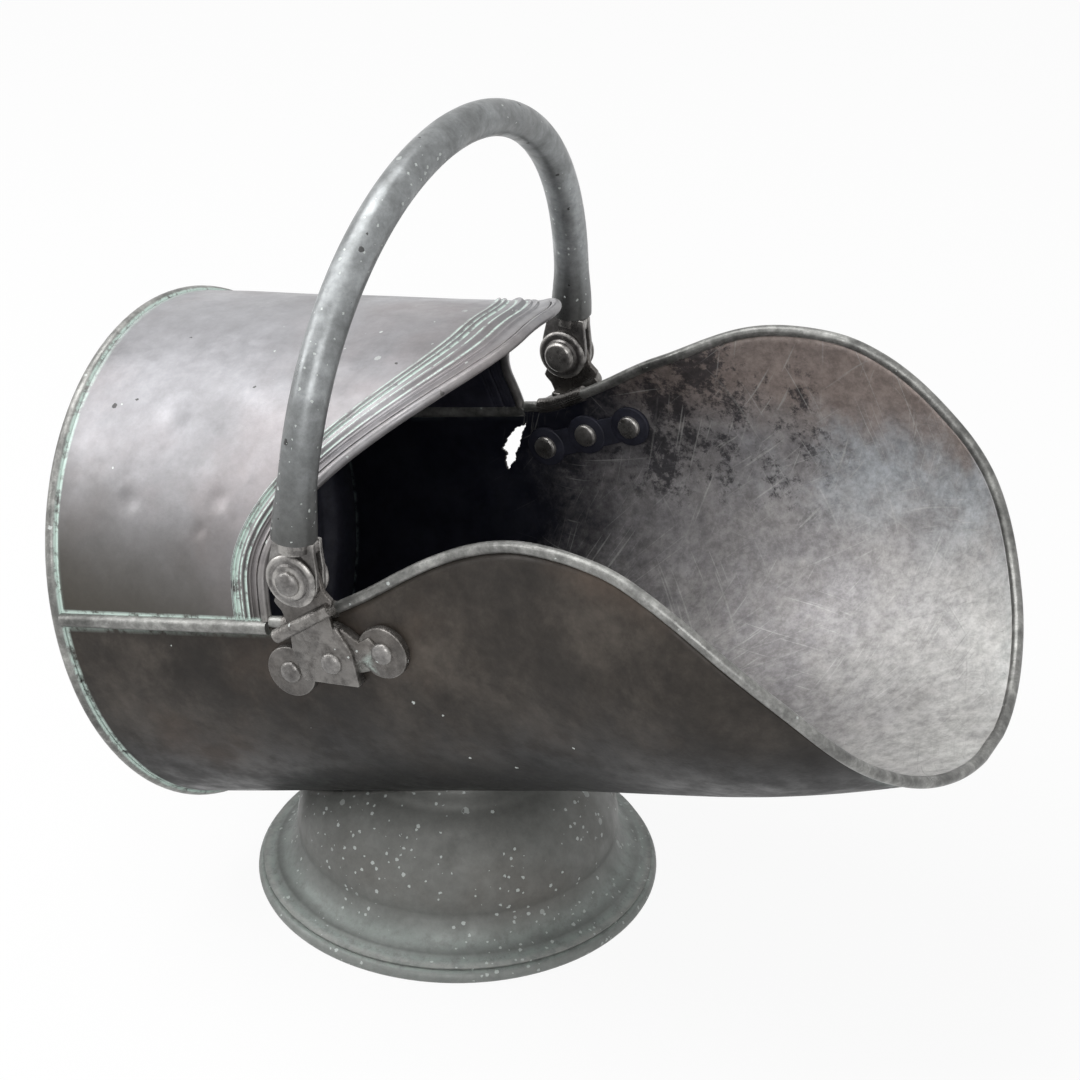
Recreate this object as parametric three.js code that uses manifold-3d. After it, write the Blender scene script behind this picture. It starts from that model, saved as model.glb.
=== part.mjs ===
// Helmet coal scuttle: a sheet-metal body on a spun foot, with a hinged swing handle.
// Millimetres, +Z up. The mouth faces +X, and the origin is under the middle of the outline.
import * as THREE from "three";
import { mergeVertices } from "three/addons/utils/BufferGeometryUtils.js";
import Module from "manifold-3d";

const wasm = await Module();
wasm.setup();

const rad = THREE.MathUtils.degToRad;
const smooth = THREE.MathUtils.smoothstep;

// ---------------------------------------------------------------- driving sizes
const SHEET = 1.6; // wall of the sheet metal
const SEAT = 0.3; // gap between pieces that rest on each other
const SAG = 0.35; // how far the middle of a facet lies inside the round form it stands for

// The body is an open tube along u, pitched mouth-up. y is across it and v square to both.
const BODY_RADIUS = 138; // at the back end
const BODY_LENGTH = 432.4; // back end to the lip, along u
const BODY_PITCH = rad(14.5);
const BODY_HEIGHT = 166; // back end's centre above the floor
const BODY_BACK = -152; // back end's centre behind the foot's axis
const KEEL_TAPER = 0.066; // how fast the bottom nears the axis
const ROOF_TAPER = 0.077; // how fast the top nears the axis

// The hood roofs the back half, from seam to seam.
const SEAM_ANGLE = rad(8); // above the widest line
const HOOD_CROWN = 228; // length along the top
const HOOD_SIDE = 125; // length along the seam
const HOOD_SWEEP = [rad(5), rad(72)]; // off the top, where the front edge sweeps back
const BAND_CROWN = 33; // width of the moulded band along the top
const BAND_SIDE = 15; // and at the seam
const BAND_HEIGHT = 1.5; // of its beads
const BAND_BEADS = [
  { at: 0.08, half: 0.08 },
  { at: 0.5, half: 0.07 },
  { at: 0.7, half: 0.07 },
];

// The pan is everything below the hood, and runs on as the open scoop with its wings.
const WING_RISE = [227, 300]; // stretch of u where the walls turn upright
const WING_UPRIGHT = 95; // growth of the upper half-height there
const FLARE = 10; // how far each wing stands out past the tube
const FLARE_RISE = [230, 345];
const LIP_NARROWING = 26; // how far each side draws in from the flare to the lip
const LIP_ANGLE = rad(5.5); // half the straight stretch in the middle of the lip
const RIM_KNOTS = [
  // the pan's trimmed edge in side view, from the wing's root to the lip: u, and v as a share of BODY_RADIUS
  [150, 0.1377],
  [185, 0.221],
  [227, 0.3406],
  [277, 0.4246],
  [319, 0.3812],
  [347.4, 0.2659],
  [374.4, 0.0674],
  [400, -0.1877],
  [418.6, -0.5261],
  [428, -0.7123],
];

const WIRE_RADIUS = 2.7; // wire rolled into the edges of hood and scoop
const WIRE_GAP = 0.8; // between a sheet's edge and its wire
const HOOD_WIRE_START = rad(3); // above the seam
const BACK_BEAD_RADIUS = 3.2;
const SEAM_BEAD_RADIUS = 3.6;
const SEAM_BEAD_PAST = 4; // how far the seam beads run on past the hood

// The back plate closes the tube: a spun disc with a ring moulding and a shallow dome.
const PLATE_FLANGE = 18; // flat margin
const PLATE_STEP = 5; // height of the ring moulding
const PLATE_DOME = 9; // rise of the middle above the moulding

// The foot is one spun shell on a wired edge.
const FOOT_RADIUS = 107; // ring of the base wire
const FOOT_WIRE_RADIUS = 4;
const FOOT_WIRE_HEIGHT = 3.5; // its centre above the floor, so that it has a flat to stand on
const CREASE_RADIUS = 88; // where cove and dome meet
const CREASE_HEIGHT = 27;
const COVE = { out: 5, height: 14 }; // pull of its curve: outside the crease, and above the floor
const DOME = { out: 2, rise: 12, reach: 10, fall: 5 }; // pulls of its curve, over the crease and off its top
const DOME_TOP = new THREE.Vector2(72, 51); // radius and height where the dome turns up into the neck
const NECK_RADIUS = 54;
const NECK_HEIGHT = 64; // where the neck runs straight up to the body
const NECK_FLARE = { out: 4, below: 6, above: 8 }; // its curve out to the dome
const NECK_PAST = 60; // how far the neck runs on before the body cuts it

// The handle swings on two pins in the ears of the side brackets.
const PIVOT_U = 160;
const PIVOT_V = 50;
const EAR_STAND_OFF = 6; // middle of an ear outside the body's widest line
const PIVOT_SPAN = BODY_RADIUS + EAR_STAND_OFF; // middle plane of the body to the middle of an ear
const ARCH_STAND_OFF = 3.5; // feet of the arch outside the ears
const HANDLE_SPAN = PIVOT_SPAN + ARCH_STAND_OFF;
const HANDLE_RISE = 178; // pivots to the middle of the grip
const HANDLE_RADIUS = 9.5;
const HANDLE_WALL = 1.4;
const TANG = { radius: 6.2, length: 14 }; // of the fork, up inside the tube
const HANDLE_FULLNESS = 0.8; // below 1 fills the shoulders of the arch
const HANDLE_LEAN = rad(1.8) + BODY_PITCH; // forward of square to the body
const TUBE_START = 23; // pivots to the end of the handle tube
const PIN_RADIUS = 4;
const PIN_HEAD = { radius: 6.5, height: 3.2 };
const EAR = { radius: 13, wall: 3.2, shoulder: 17, waist: 13 };
const FORK = { eye: 13.6, neck: 9.3, wall: 2.6, bridge: 15.5 };
const ROSETTE = { radius: 13.4, height: 4 };

// Side brackets, riveted through the pan to a backing plate.
const RIVETS = [
  { u: 139.5, v: -3.5, proud: 0 },
  { u: 167, v: 3.5, proud: 3 },
  { u: 195.5, v: 8, proud: 0 },
];
const RIVET = { shank: 2.8, head: 5.8, tail: 7.5, height: 3 };
const LOBE_RADIUS = 13.5;
const STRAP_HALF = 8;
const BRACKET_WALL = 4;
const BACKING_WALL = 2.4;
const BACKING_LOBE_INSET = 2; // how much smaller the backing plate's lobes are
const COLLAR = { radius: 5.6, from: 0.05, to: 0.15 }; // sleeve on the rim wire, as shares of the rim line
const RIM_WIRE_START = 0.03; // share of the rim line where its wire begins
const BLOCK = [
  // the bracket's thick middle, from the middle rivet up to the ear
  [-19, -10],
  [6, -12],
  [6, 18.5],
  [-19, 24.5],
  [-21, 8],
];
const RIB = { radius: 3.6, from: [-20.5, -32], to: [15, -16.5] }; // bar across the ear's foot, off the pin
const EAR_FOOT = 32; // pin to the ear's root in the block
const EAR_CHEEK = 8; // pin to where the ear's sides lean out to the shoulders
const FORK_HIP = 0.2; // radians the fork's round end carries up its sides

// Facets
const AROUND = 40;
const AROUND_SMALL = 16;
const AROUND_RIVET = 9;
const WIRE_SIDES = 6;
const PAN_GRID = { across: 24, seam: 3, rim: 20 };
const HOOD_GRID = { across: 28, plain: 3 };
const BAND_ROWS = [0, 0.08, 0.16, 0.43, 0.5, 0.57, 0.63, 0.7, 0.77, 1];
const HOOD_WIRE_STEPS = 34;
const RIM_WIRE_STEPS = 64;
const HANDLE_STEPS = 30;
const HANDLE_SIDES = 10;
const COLLAR_SIDES = 14;
const LINE_POINTS = 60; // points that carry a wire's curve

// ---------------------------------------------------------------- finishes
const finish = (color, roughness, metalness) => ({ color, roughness, metalness });
const BROWN = finish(0x544c47, 0.5, 0.8);
const LILAC = finish(0x8b8587, 0.45, 0.8);
const GREY = finish(0x6f716c, 0.55, 0.75);
const IRON = finish(0x3b3835, 0.75, 0.6);

// ---------------------------------------------------------------- solids
/** Evenly spaced values from one end to the other. */
const spaced = (from, to, steps) =>
  Array.from({ length: steps + 1 }, (_, i) => from + (i / steps) * (to - from));

/** A closed geometry as a solid that can be joined and cut. */
function solid(geometry) {
  const bare = geometry.clone();
  bare.deleteAttribute("normal");
  bare.deleteAttribute("uv");
  const merged = mergeVertices(bare, 1e-4);
  return new wasm.Manifold(
    new wasm.Mesh({
      numProp: 3,
      vertProperties: new Float32Array(merged.attributes.position.array),
      triVerts: new Uint32Array(merged.index.array),
    }),
  );
}

/** A solid back as a geometry with flat normals. */
function geometryOf(body) {
  const { vertProperties, triVerts } = body.getMesh();
  const geometry = new THREE.BufferGeometry();
  geometry.setAttribute("position", new THREE.BufferAttribute(vertProperties, 3));
  geometry.setIndex(new THREE.BufferAttribute(triVerts, 1));
  const flat = geometry.toNonIndexed();
  flat.computeVertexNormals();
  return flat;
}

/** A named mesh of one piece. */
function piece(name, geometry, look) {
  const mesh = new THREE.Mesh(geometry, new THREE.MeshStandardMaterial(look));
  mesh.name = name;
  return mesh;
}

/** The closed sheet between two facing grids of points, outer[row][column] and inner[row][column]. */
function sheetBetween(outer, inner) {
  const rows = outer.length;
  const columns = outer[0].length;
  const points = [...outer.flat(), ...inner.flat()];
  const index = [];
  const at = (side, row, column) => side * rows * columns + row * columns + column;
  const quad = (a, b, c, d) => index.push(a, b, c, a, c, d);
  for (let r = 0; r + 1 < rows; r++)
    for (let c = 0; c + 1 < columns; c++) {
      quad(at(0, r, c), at(0, r + 1, c), at(0, r + 1, c + 1), at(0, r, c + 1));
      quad(at(1, r, c), at(1, r, c + 1), at(1, r + 1, c + 1), at(1, r + 1, c));
    }
  for (let r = 0; r + 1 < rows; r++) {
    quad(at(0, r, 0), at(1, r, 0), at(1, r + 1, 0), at(0, r + 1, 0));
    const last = columns - 1;
    quad(at(0, r, last), at(0, r + 1, last), at(1, r + 1, last), at(1, r, last));
  }
  for (let c = 0; c + 1 < columns; c++) {
    quad(at(0, 0, c), at(0, 0, c + 1), at(1, 0, c + 1), at(1, 0, c));
    quad(at(0, rows - 1, c), at(1, rows - 1, c), at(1, rows - 1, c + 1), at(0, rows - 1, c + 1));
  }
  return new THREE.BufferGeometry().setFromPoints(points).setIndex(index);
}

/** A round bar along a curve, or a tube where it has a bore. */
function bar(curve, radius, steps, sides = WIRE_SIDES, bore = 0) {
  const section = new THREE.Shape().absarc(0, 0, radius, 0, 2 * Math.PI);
  if (bore > 0) section.holes.push(new THREE.Path().absarc(0, 0, bore, 0, 2 * Math.PI, true));
  return new THREE.ExtrudeGeometry(section, { steps, curveSegments: sides / 2, extrudePath: curve });
}

/** A flat plate of an outline in side view, from one distance off the middle plane to another. */
function slab(shape, side, from, to, curveSegments = 6) {
  const geometry = new THREE.ExtrudeGeometry(shape, { depth: to - from, bevelEnabled: false, curveSegments });
  return geometry.rotateX(Math.PI / 2).translate(0, side > 0 ? to : -from, 0);
}

const disc = (u, v, radius) => new THREE.Shape().absarc(u, v, radius, 0, 2 * Math.PI);

const DRILL = 20; // how far a drilling rod runs past the wall it cuts

/** A drilling rod across the body at (u, v), from one distance off the middle plane to another. */
const rod = (u, v, radius, side, from, to) => solid(slab(disc(u, v, radius), side, from, to));

/** A lathe profile for a shell: a line's points, then the same line set back by the wall. */
function shellProfile(line, wall) {
  const back = line.map((point, i) => {
    const next = line[Math.min(i + 1, line.length - 1)];
    const last = line[Math.max(i - 1, 0)];
    const along = next.clone().sub(last).normalize();
    return new THREE.Vector2(Math.max(point.x - along.y * wall, 0), point.y + along.x * wall);
  });
  return [...line, ...back.reverse()];
}

// ---------------------------------------------------------------- body surface
const halfWidth = (u) =>
  BODY_RADIUS +
  FLARE * smooth(u, ...FLARE_RISE) -
  LIP_NARROWING * Math.max(0, (u - FLARE_RISE[1]) / (BODY_LENGTH - FLARE_RISE[1])) ** 2;
const keelDepth = (u) => BODY_RADIUS - KEEL_TAPER * u;
const roofHeight = (u) => BODY_RADIUS - ROOF_TAPER * u;
const wingHeight = (u) => roofHeight(u) + WING_UPRIGHT * smooth(u, ...WING_RISE);

/** A point of the body's wall at u and at an angle above the widest line, grown outwards. */
function wallPoint(u, angle, grow = 0, upperHeight = wingHeight) {
  const height = Math.sin(angle) > 0 ? upperHeight(u) : keelDepth(u);
  return new THREE.Vector3(u, (halfWidth(u) + grow) * Math.cos(angle), (height + grow) * Math.sin(angle));
}

const CORE_PAST = 2; // how far the cutting body runs out behind the back end

/** The body's back half as one closed tube, for cutting what seats on it. */
function core(grow) {
  const stations = spaced(-CORE_PAST, RIVETS.at(-1).u + 3 * LOBE_RADIUS, 6);
  const sides = 2 * AROUND;
  const loop = (u, scale) =>
    Array.from({ length: sides + 1 }, (_, i) => {
      const point = wallPoint(u, (2 * Math.PI * i) / sides, grow, roofHeight);
      return point.multiply(new THREE.Vector3(1, scale, scale));
    });
  const rings = [loop(stations[0], 0), ...stations.map((u) => loop(u, 1)), loop(stations.at(-1), 0)];
  const index = [];
  rings.slice(1).forEach((_, r) => {
    for (let c = 0; c < sides; c++) {
      const [a, b] = [r * (sides + 1) + c, (r + 1) * (sides + 1) + c];
      if (r > 0) index.push(a, a + 1, b);
      if (r < rings.length - 2) index.push(b, a + 1, b + 1);
    }
  });
  return solid(new THREE.BufferGeometry().setFromPoints(rings.flat()).setIndex(index));
}

const HOOD_CORNER = HOOD_SIDE + SEAM_BEAD_PAST; // where the pan's edge leaves the seam
const RIM_LINE = new THREE.SplineCurve([
  new THREE.Vector2(HOOD_CORNER, roofHeight(HOOD_CORNER) * Math.sin(SEAM_ANGLE)),
  ...RIM_KNOTS.map(([u, share]) => new THREE.Vector2(u, share * BODY_RADIUS)),
  new THREE.Vector2(BODY_LENGTH, -keelDepth(BODY_LENGTH) * Math.cos(LIP_ANGLE)),
]);

/** The angle at which the pan's wall is v high at u. */
const angleAt = (u, v) => Math.asin(THREE.MathUtils.clamp(v / (v > 0 ? wingHeight(u) : keelDepth(u)), -1, 1));

/** The trimmed rim's u and angle at a share of its length, 0 at the hood's corner and 1 at the lip. */
function rimAt(share) {
  const { x: u, y: v } = RIM_LINE.getPoint(share);
  return { u, angle: angleAt(u, v) };
}

/** The middle of a wired edge: beside the sheet's edge, in line with the sheet. edge(t) gives u and angle. */
function besideEdge(edge, t, upperHeight) {
  const step = 1e-3;
  const { u, angle } = edge(t);
  const on = (place) => wallPoint(place.u, place.angle, -SHEET / 2, upperHeight);
  const along = on(edge(t + step)).sub(on(edge(t - step)));
  const lengthwise = on({ u: u + step, angle }).sub(on({ u: u - step, angle }));
  const crosswise = on({ u, angle: angle + step }).sub(on({ u, angle: angle - step }));
  const out = lengthwise.cross(crosswise).cross(along).normalize();
  return on({ u, angle }).addScaledVector(out, WIRE_RADIUS + WIRE_GAP);
}

/** The middle of the rim's wire at a share of the rim line, on the side +1 or -1. */
function wirePoint(share, side) {
  const edge = (s) => rimAt(THREE.MathUtils.clamp(s, 0, 1));
  return besideEdge(edge, share, wingHeight).multiply(new THREE.Vector3(1, side, 1));
}

// ---------------------------------------------------------------- body pieces
function pan() {
  const { across, seam, rim } = PAN_GRID;
  const rows = [];
  for (let i = 0; i < seam; i++) rows.push({ u: (i / seam) * HOOD_CORNER, angle: SEAM_ANGLE });
  for (let i = 0; i <= rim; i++) rows.push(rimAt(i / rim));
  const grid = (grow) =>
    rows.map(({ u, angle }) =>
      Array.from({ length: across + 1 }, (_, i) =>
        wallPoint(u, angle - (i / across) * (Math.PI + 2 * angle), grow).setX(u),
      ),
    );
  let body = solid(sheetBetween(grid(0), grid(-SHEET)));
  for (const side of [1, -1])
    for (const { u, v } of RIVETS)
      body = body.subtract(rod(u, v, RIVET.shank + SEAT, side, BODY_RADIUS - DRILL, BODY_RADIUS + DRILL));
  return geometryOf(body);
}

/** How far off the top an angle lies, as a share from 0 at the top to 1 at the swept-back sides. */
const sweepShare = (angle) => smooth(Math.abs(angle - Math.PI / 2), ...HOOD_SWEEP);

/** Height of the band's beads at a share of its width. */
const beadHeight = (share) =>
  BAND_BEADS.reduce((sum, { at, half }) => {
    const off = (share - at) / half;
    return sum + (Math.abs(off) < 1 ? BAND_HEIGHT * Math.cos((off * Math.PI) / 2) : 0);
  }, 0);

/** The hood's length at an angle. */
const hoodEdge = (angle) => THREE.MathUtils.lerp(HOOD_CROWN, HOOD_SIDE, sweepShare(angle));

function hood() {
  const { across, plain: plainRows } = HOOD_GRID;
  const edge = SEAM_ANGLE + SEAT / BODY_RADIUS;
  // under the seam bead the sheet is plain
  const cover = SEAM_ANGLE + (SEAM_BEAD_RADIUS + SEAT) / BODY_RADIUS;
  const spread = Array.from(
    { length: across - 1 },
    (_, i) => cover + (i / (across - 2)) * (Math.PI - 2 * cover),
  );
  const angles = [edge, ...spread, Math.PI - edge];
  const plain = (angle) => Math.min(angle, Math.PI - angle) <= cover;
  const row = (place, rise) => (grow) =>
    angles.map((angle) => wallPoint(place(angle), angle, grow + (plain(angle) ? 0 : rise), roofHeight));
  const bandStart = (angle) =>
    hoodEdge(angle) - THREE.MathUtils.lerp(BAND_CROWN, BAND_SIDE, sweepShare(angle));
  const rows = [];
  for (let i = 0; i < plainRows; i++) rows.push(row((angle) => (i / plainRows) * bandStart(angle), 0));
  for (const share of BAND_ROWS) {
    const place = (angle) => THREE.MathUtils.lerp(bandStart(angle), hoodEdge(angle), share);
    rows.push(row(place, beadHeight(share)));
  }
  const grid = (grow) => rows.map((make) => make(grow).reverse());
  return sheetBetween(grid(0), grid(-SHEET));
}

function hoodWire() {
  const from = SEAM_ANGLE + HOOD_WIRE_START;
  const edge = (turn) => ({ u: hoodEdge(Math.PI - turn), angle: Math.PI - turn });
  const points = spaced(from, Math.PI - from, LINE_POINTS).map((turn) => besideEdge(edge, turn, roofHeight));
  return bar(new THREE.CatmullRomCurve3(points), WIRE_RADIUS, HOOD_WIRE_STEPS);
}

function scoopWire() {
  const shares = spaced(RIM_WIRE_START, 1, LINE_POINTS);
  const far = shares.map((share) => wirePoint(share, 1));
  const near = shares.map((share) => wirePoint(share, -1)).reverse();
  return bar(new THREE.CatmullRomCurve3([...far, ...near]), WIRE_RADIUS, RIM_WIRE_STEPS);
}

function backBead() {
  const ring = new THREE.TorusGeometry(BODY_RADIUS - SHEET / 2, BACK_BEAD_RADIUS, WIRE_SIDES, AROUND);
  return ring.rotateY(Math.PI / 2).translate(-BACK_BEAD_RADIUS - SEAT, 0, 0);
}

function backPlate() {
  const edge = BODY_RADIUS - SHEET - SEAT - SAG;
  const inner = edge - PLATE_FLANGE;
  const line = new THREE.Path()
    .moveTo(0, PLATE_STEP + PLATE_DOME)
    .quadraticCurveTo(inner * 0.55, PLATE_STEP + PLATE_DOME, inner - PLATE_STEP * 2, PLATE_STEP)
    .quadraticCurveTo(inner - PLATE_STEP, PLATE_STEP * 0.9, inner, 0)
    .lineTo(edge, 0);
  const profile = shellProfile(line.getPoints(2), -SHEET).reverse();
  return new THREE.LatheGeometry(profile, AROUND).rotateZ(Math.PI / 2);
}

function seamBead(side) {
  const end = (u) => wallPoint(u, SEAM_ANGLE, 0, roofHeight).multiply(new THREE.Vector3(1, side, 1));
  const strip = bar(new THREE.LineCurve3(end(0), end(HOOD_CORNER)), SEAM_BEAD_RADIUS, 1, 12);
  return geometryOf(solid(strip).subtract(core(SEAT)));
}

// ---------------------------------------------------------------- foot
function footShell(bodyCore) {
  const seat = FOOT_WIRE_HEIGHT + FOOT_WIRE_RADIUS + SEAT + SHEET;
  const line = new THREE.Path()
    .moveTo(FOOT_RADIUS + 1, seat)
    .lineTo(FOOT_RADIUS - 4, seat + 0.8)
    .lineTo(FOOT_RADIUS - 5.5, seat + 2.4)
    .quadraticCurveTo(CREASE_RADIUS + COVE.out, COVE.height, CREASE_RADIUS, CREASE_HEIGHT)
    .bezierCurveTo(
      ...[CREASE_RADIUS + DOME.out, CREASE_HEIGHT + DOME.rise],
      ...[DOME_TOP.x + DOME.reach, DOME_TOP.y - DOME.fall],
      ...DOME_TOP.toArray(),
    )
    .bezierCurveTo(
      ...[NECK_RADIUS + NECK_FLARE.out, NECK_HEIGHT - NECK_FLARE.below],
      ...[NECK_RADIUS, NECK_HEIGHT],
      ...[NECK_RADIUS, NECK_HEIGHT + NECK_FLARE.above],
    )
    .lineTo(NECK_RADIUS, NECK_HEIGHT + NECK_PAST);
  const profile = shellProfile(line.getPoints(3), SHEET);
  const spun = new THREE.LatheGeometry([...profile, profile[0]], AROUND).rotateX(Math.PI / 2);
  return geometryOf(solid(spun).subtract(bodyCore));
}

function footWire() {
  const low = Math.asin(FOOT_WIRE_HEIGHT / FOOT_WIRE_RADIUS);
  const section = new THREE.Path()
    .absarc(FOOT_RADIUS, FOOT_WIRE_HEIGHT, FOOT_WIRE_RADIUS, -low, Math.PI + low)
    .getPoints(3);
  return new THREE.LatheGeometry([...section, section[0]], AROUND).rotateX(Math.PI / 2);
}

// ---------------------------------------------------------------- brackets and rivets
const RIVET_LINE = Math.atan2(RIVETS[2].v - RIVETS[0].v, RIVETS[2].u - RIVETS[0].u);

/** A band of half width along the rivets. */
function strapShape(half) {
  const [first, , last] = RIVETS;
  const lift = new THREE.Vector2(-Math.sin(RIVET_LINE), Math.cos(RIVET_LINE)).multiplyScalar(half);
  const corner = (rivet, sign) => new THREE.Vector2(rivet.u, rivet.v).addScaledVector(lift, sign);
  return new THREE.Shape([corner(first, -1), corner(last, -1), corner(last, 1), corner(first, 1)]);
}

/** The ear's outline: round over the pin, with shoulders above a waist at the rim. */
function earShape() {
  const { radius, shoulder, waist } = EAR;
  const root = PIVOT_V - EAR_FOOT;
  const cheek = PIVOT_V - EAR_CHEEK;
  const tip = PIVOT_V - radius - 1;
  const shape = new THREE.Shape();
  shape.absarc(PIVOT_U, PIVOT_V, radius, 0, Math.PI);
  shape.lineTo(PIVOT_U - radius, cheek);
  shape.lineTo(PIVOT_U - shoulder, tip);
  shape.quadraticCurveTo(PIVOT_U - waist, tip - 3, PIVOT_U - waist, root);
  shape.lineTo(PIVOT_U + waist, root);
  shape.quadraticCurveTo(PIVOT_U + waist, tip - 3, PIVOT_U + shoulder, tip);
  shape.lineTo(PIVOT_U + radius, cheek);
  return shape;
}

/** The piece drilled for its rivets. */
function drilled(body, side) {
  for (const { u, v } of RIVETS)
    body = body.subtract(rod(u, v, RIVET.shank + SEAT, side, BODY_RADIUS - DRILL, BODY_RADIUS + DRILL));
  return body;
}

/** The rim wire's middle line between two shares, on one side. */
const wireLine = (from, to, steps, side) =>
  new THREE.CatmullRomCurve3(spaced(from, to, steps).map((share) => wirePoint(share, side)));

function bracket(side, bodyCore) {
  const root = BODY_RADIUS - SHEET; // starts inside the wall, which is then cut away
  const face = BODY_RADIUS + BRACKET_WALL;
  const earFrom = PIVOT_SPAN - EAR.wall / 2;
  const earTo = PIVOT_SPAN + EAR.wall / 2;
  const [first, middle, last] = RIVETS;
  const block = new THREE.Shape(BLOCK.map(([u, v]) => new THREE.Vector2(middle.u + u, middle.v + v)));
  const sleeve = bar(wireLine(COLLAR.from, COLLAR.to, 10, side), COLLAR.radius, 5, COLLAR_SIDES);
  const ribEnd = ([u, v]) => new THREE.Vector3(PIVOT_U + u, side * earTo, PIVOT_V + v);
  const rib = bar(new THREE.LineCurve3(ribEnd(RIB.from), ribEnd(RIB.to)), RIB.radius, 1, 8);
  const groove = bar(wireLine(0, 2 * COLLAR.to, 20, side), WIRE_RADIUS + 2 * SEAT, 16, COLLAR_SIDES);
  let body = solid(slab(earShape(), side, earFrom, earTo))
    .add(solid(slab(block, side, root, face + middle.proud)))
    .add(solid(slab(block, side, face, earTo)).intersect(solid(slab(earShape(), side, face, earTo))))
    .add(solid(sleeve))
    .add(solid(rib))
    .add(solid(slab(strapShape(STRAP_HALF), side, root, face)));
  for (const { u, v } of [first, last])
    body = body.add(solid(slab(disc(u, v, LOBE_RADIUS), side, root, face)));
  body = drilled(body.subtract(bodyCore).subtract(solid(groove)), side);
  return geometryOf(body.subtract(rod(PIVOT_U, PIVOT_V, PIN_RADIUS + SEAT, side, root, earTo + 1)));
}

const BACKING_FACE = BODY_RADIUS - SHEET - SEAT - 2 * SAG - BACKING_WALL; // its flat side, in the body

function backingPlate(side) {
  let body = solid(slab(strapShape(STRAP_HALF), side, BACKING_FACE, BODY_RADIUS));
  for (const { u, v } of RIVETS) {
    const lobe = disc(u, v, LOBE_RADIUS - BACKING_LOBE_INSET);
    body = body.add(solid(slab(lobe, side, BACKING_FACE, BODY_RADIUS)));
  }
  return geometryOf(drilled(body.intersect(core(-SHEET - SEAT - 2 * SAG)), side));
}

/** A rivet at one hole: a shank with a domed head outside and a broad one inside. */
function rivet({ u, v, proud }, side) {
  const tail = BACKING_FACE - SEAT;
  const seat = BODY_RADIUS + BRACKET_WALL + proud + SEAT;
  const profile = new THREE.Path()
    .moveTo(0, tail - RIVET.height)
    .quadraticCurveTo(RIVET.tail * 0.8, tail - RIVET.height, RIVET.tail, tail)
    .lineTo(RIVET.shank, tail)
    .lineTo(RIVET.shank, seat)
    .lineTo(RIVET.head, seat)
    .quadraticCurveTo(RIVET.head * 0.8, seat + RIVET.height, 0, seat + RIVET.height);
  const turned = new THREE.LatheGeometry(profile.getPoints(2), AROUND_RIVET);
  if (side < 0) turned.rotateZ(Math.PI);
  return turned.translate(u, 0, v);
}

// ---------------------------------------------------------------- handle
/** The middle line of the handle tube, an arch over the two pivots. */
class HandleLine extends THREE.Curve {
  getPoint(share) {
    const first = Math.asin((TUBE_START / HANDLE_RISE) ** (1 / HANDLE_FULLNESS));
    const turn = first + share * (Math.PI - 2 * first);
    const height = HANDLE_RISE * Math.sin(turn) ** HANDLE_FULLNESS;
    return new THREE.Vector3(0, -HANDLE_SPAN * Math.cos(turn), height);
  }
}

const handleTube = () =>
  bar(new HandleLine(), HANDLE_RADIUS, HANDLE_STEPS, HANDLE_SIDES, HANDLE_RADIUS - HANDLE_WALL);

const FORK_GAP = EAR.wall / 2 + SEAT; // ear's middle to the inside of a cheek
const FORK_FACE = FORK_GAP + FORK.wall; // and to its outside

/** The forked end of the handle: two cheeks astride the ear, and a tang up inside the tube. */
function fork(side) {
  const end = new HandleLine().getPoint(side > 0 ? 1 : 0);
  const tang = new THREE.LineCurve3(
    new THREE.Vector3(0, end.y, FORK.bridge + SEAT),
    new THREE.Vector3(0, end.y - side * SEAT, TUBE_START + TANG.length),
  );
  const { eye, neck, bridge } = FORK;
  const top = TUBE_START - 3 * SEAT;
  const [hipWidth, hipHeight] = [eye * Math.cos(FORK_HIP), eye * Math.sin(FORK_HIP)];
  const shape = new THREE.Shape();
  shape.absarc(0, 0, eye, Math.PI - FORK_HIP, 2 * Math.PI + FORK_HIP);
  shape.quadraticCurveTo(neck, bridge / 2, neck, top);
  shape.lineTo(-neck, top);
  shape.quadraticCurveTo(-neck, bridge / 2, -hipWidth, hipHeight);
  const slot = new THREE.Shape([
    new THREE.Vector2(-2 * eye, -2 * eye),
    new THREE.Vector2(2 * eye, -2 * eye),
    new THREE.Vector2(2 * eye, bridge),
    new THREE.Vector2(-2 * eye, bridge),
  ]);
  return geometryOf(
    solid(slab(shape, side, PIVOT_SPAN - FORK_FACE, PIVOT_SPAN + FORK_FACE))
      .add(solid(bar(tang, TANG.radius, 1, AROUND_RIVET - 1)))
      .subtract(solid(slab(slot, side, PIVOT_SPAN - FORK_GAP, PIVOT_SPAN + FORK_GAP)))
      .subtract(rod(0, 0, PIN_RADIUS + SEAT, side, PIVOT_SPAN - 2 * FORK_FACE, PIVOT_SPAN + 2 * FORK_FACE)),
  );
}

/** A stepped washer beside the fork, on its outer (+1) or inner (-1) face. */
function rosette(side, face) {
  const { radius, height } = ROSETTE;
  const bore = PIN_RADIUS + SEAT;
  const outline = [
    [bore, 0],
    [radius, 0],
    [radius, height * 0.45],
    [radius - 2, height * 0.7],
    [radius - 3.4, height * 0.55],
    [radius - 4.6, height],
    [bore, height],
  ].map(([x, y]) => new THREE.Vector2(x, y));
  const turned = new THREE.LatheGeometry([...outline, outline[0]], AROUND_SMALL);
  if (side * face < 0) turned.rotateZ(Math.PI);
  return turned.translate(PIVOT_U, side * (PIVOT_SPAN + face * (FORK_FACE + SEAT)), PIVOT_V);
}

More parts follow.
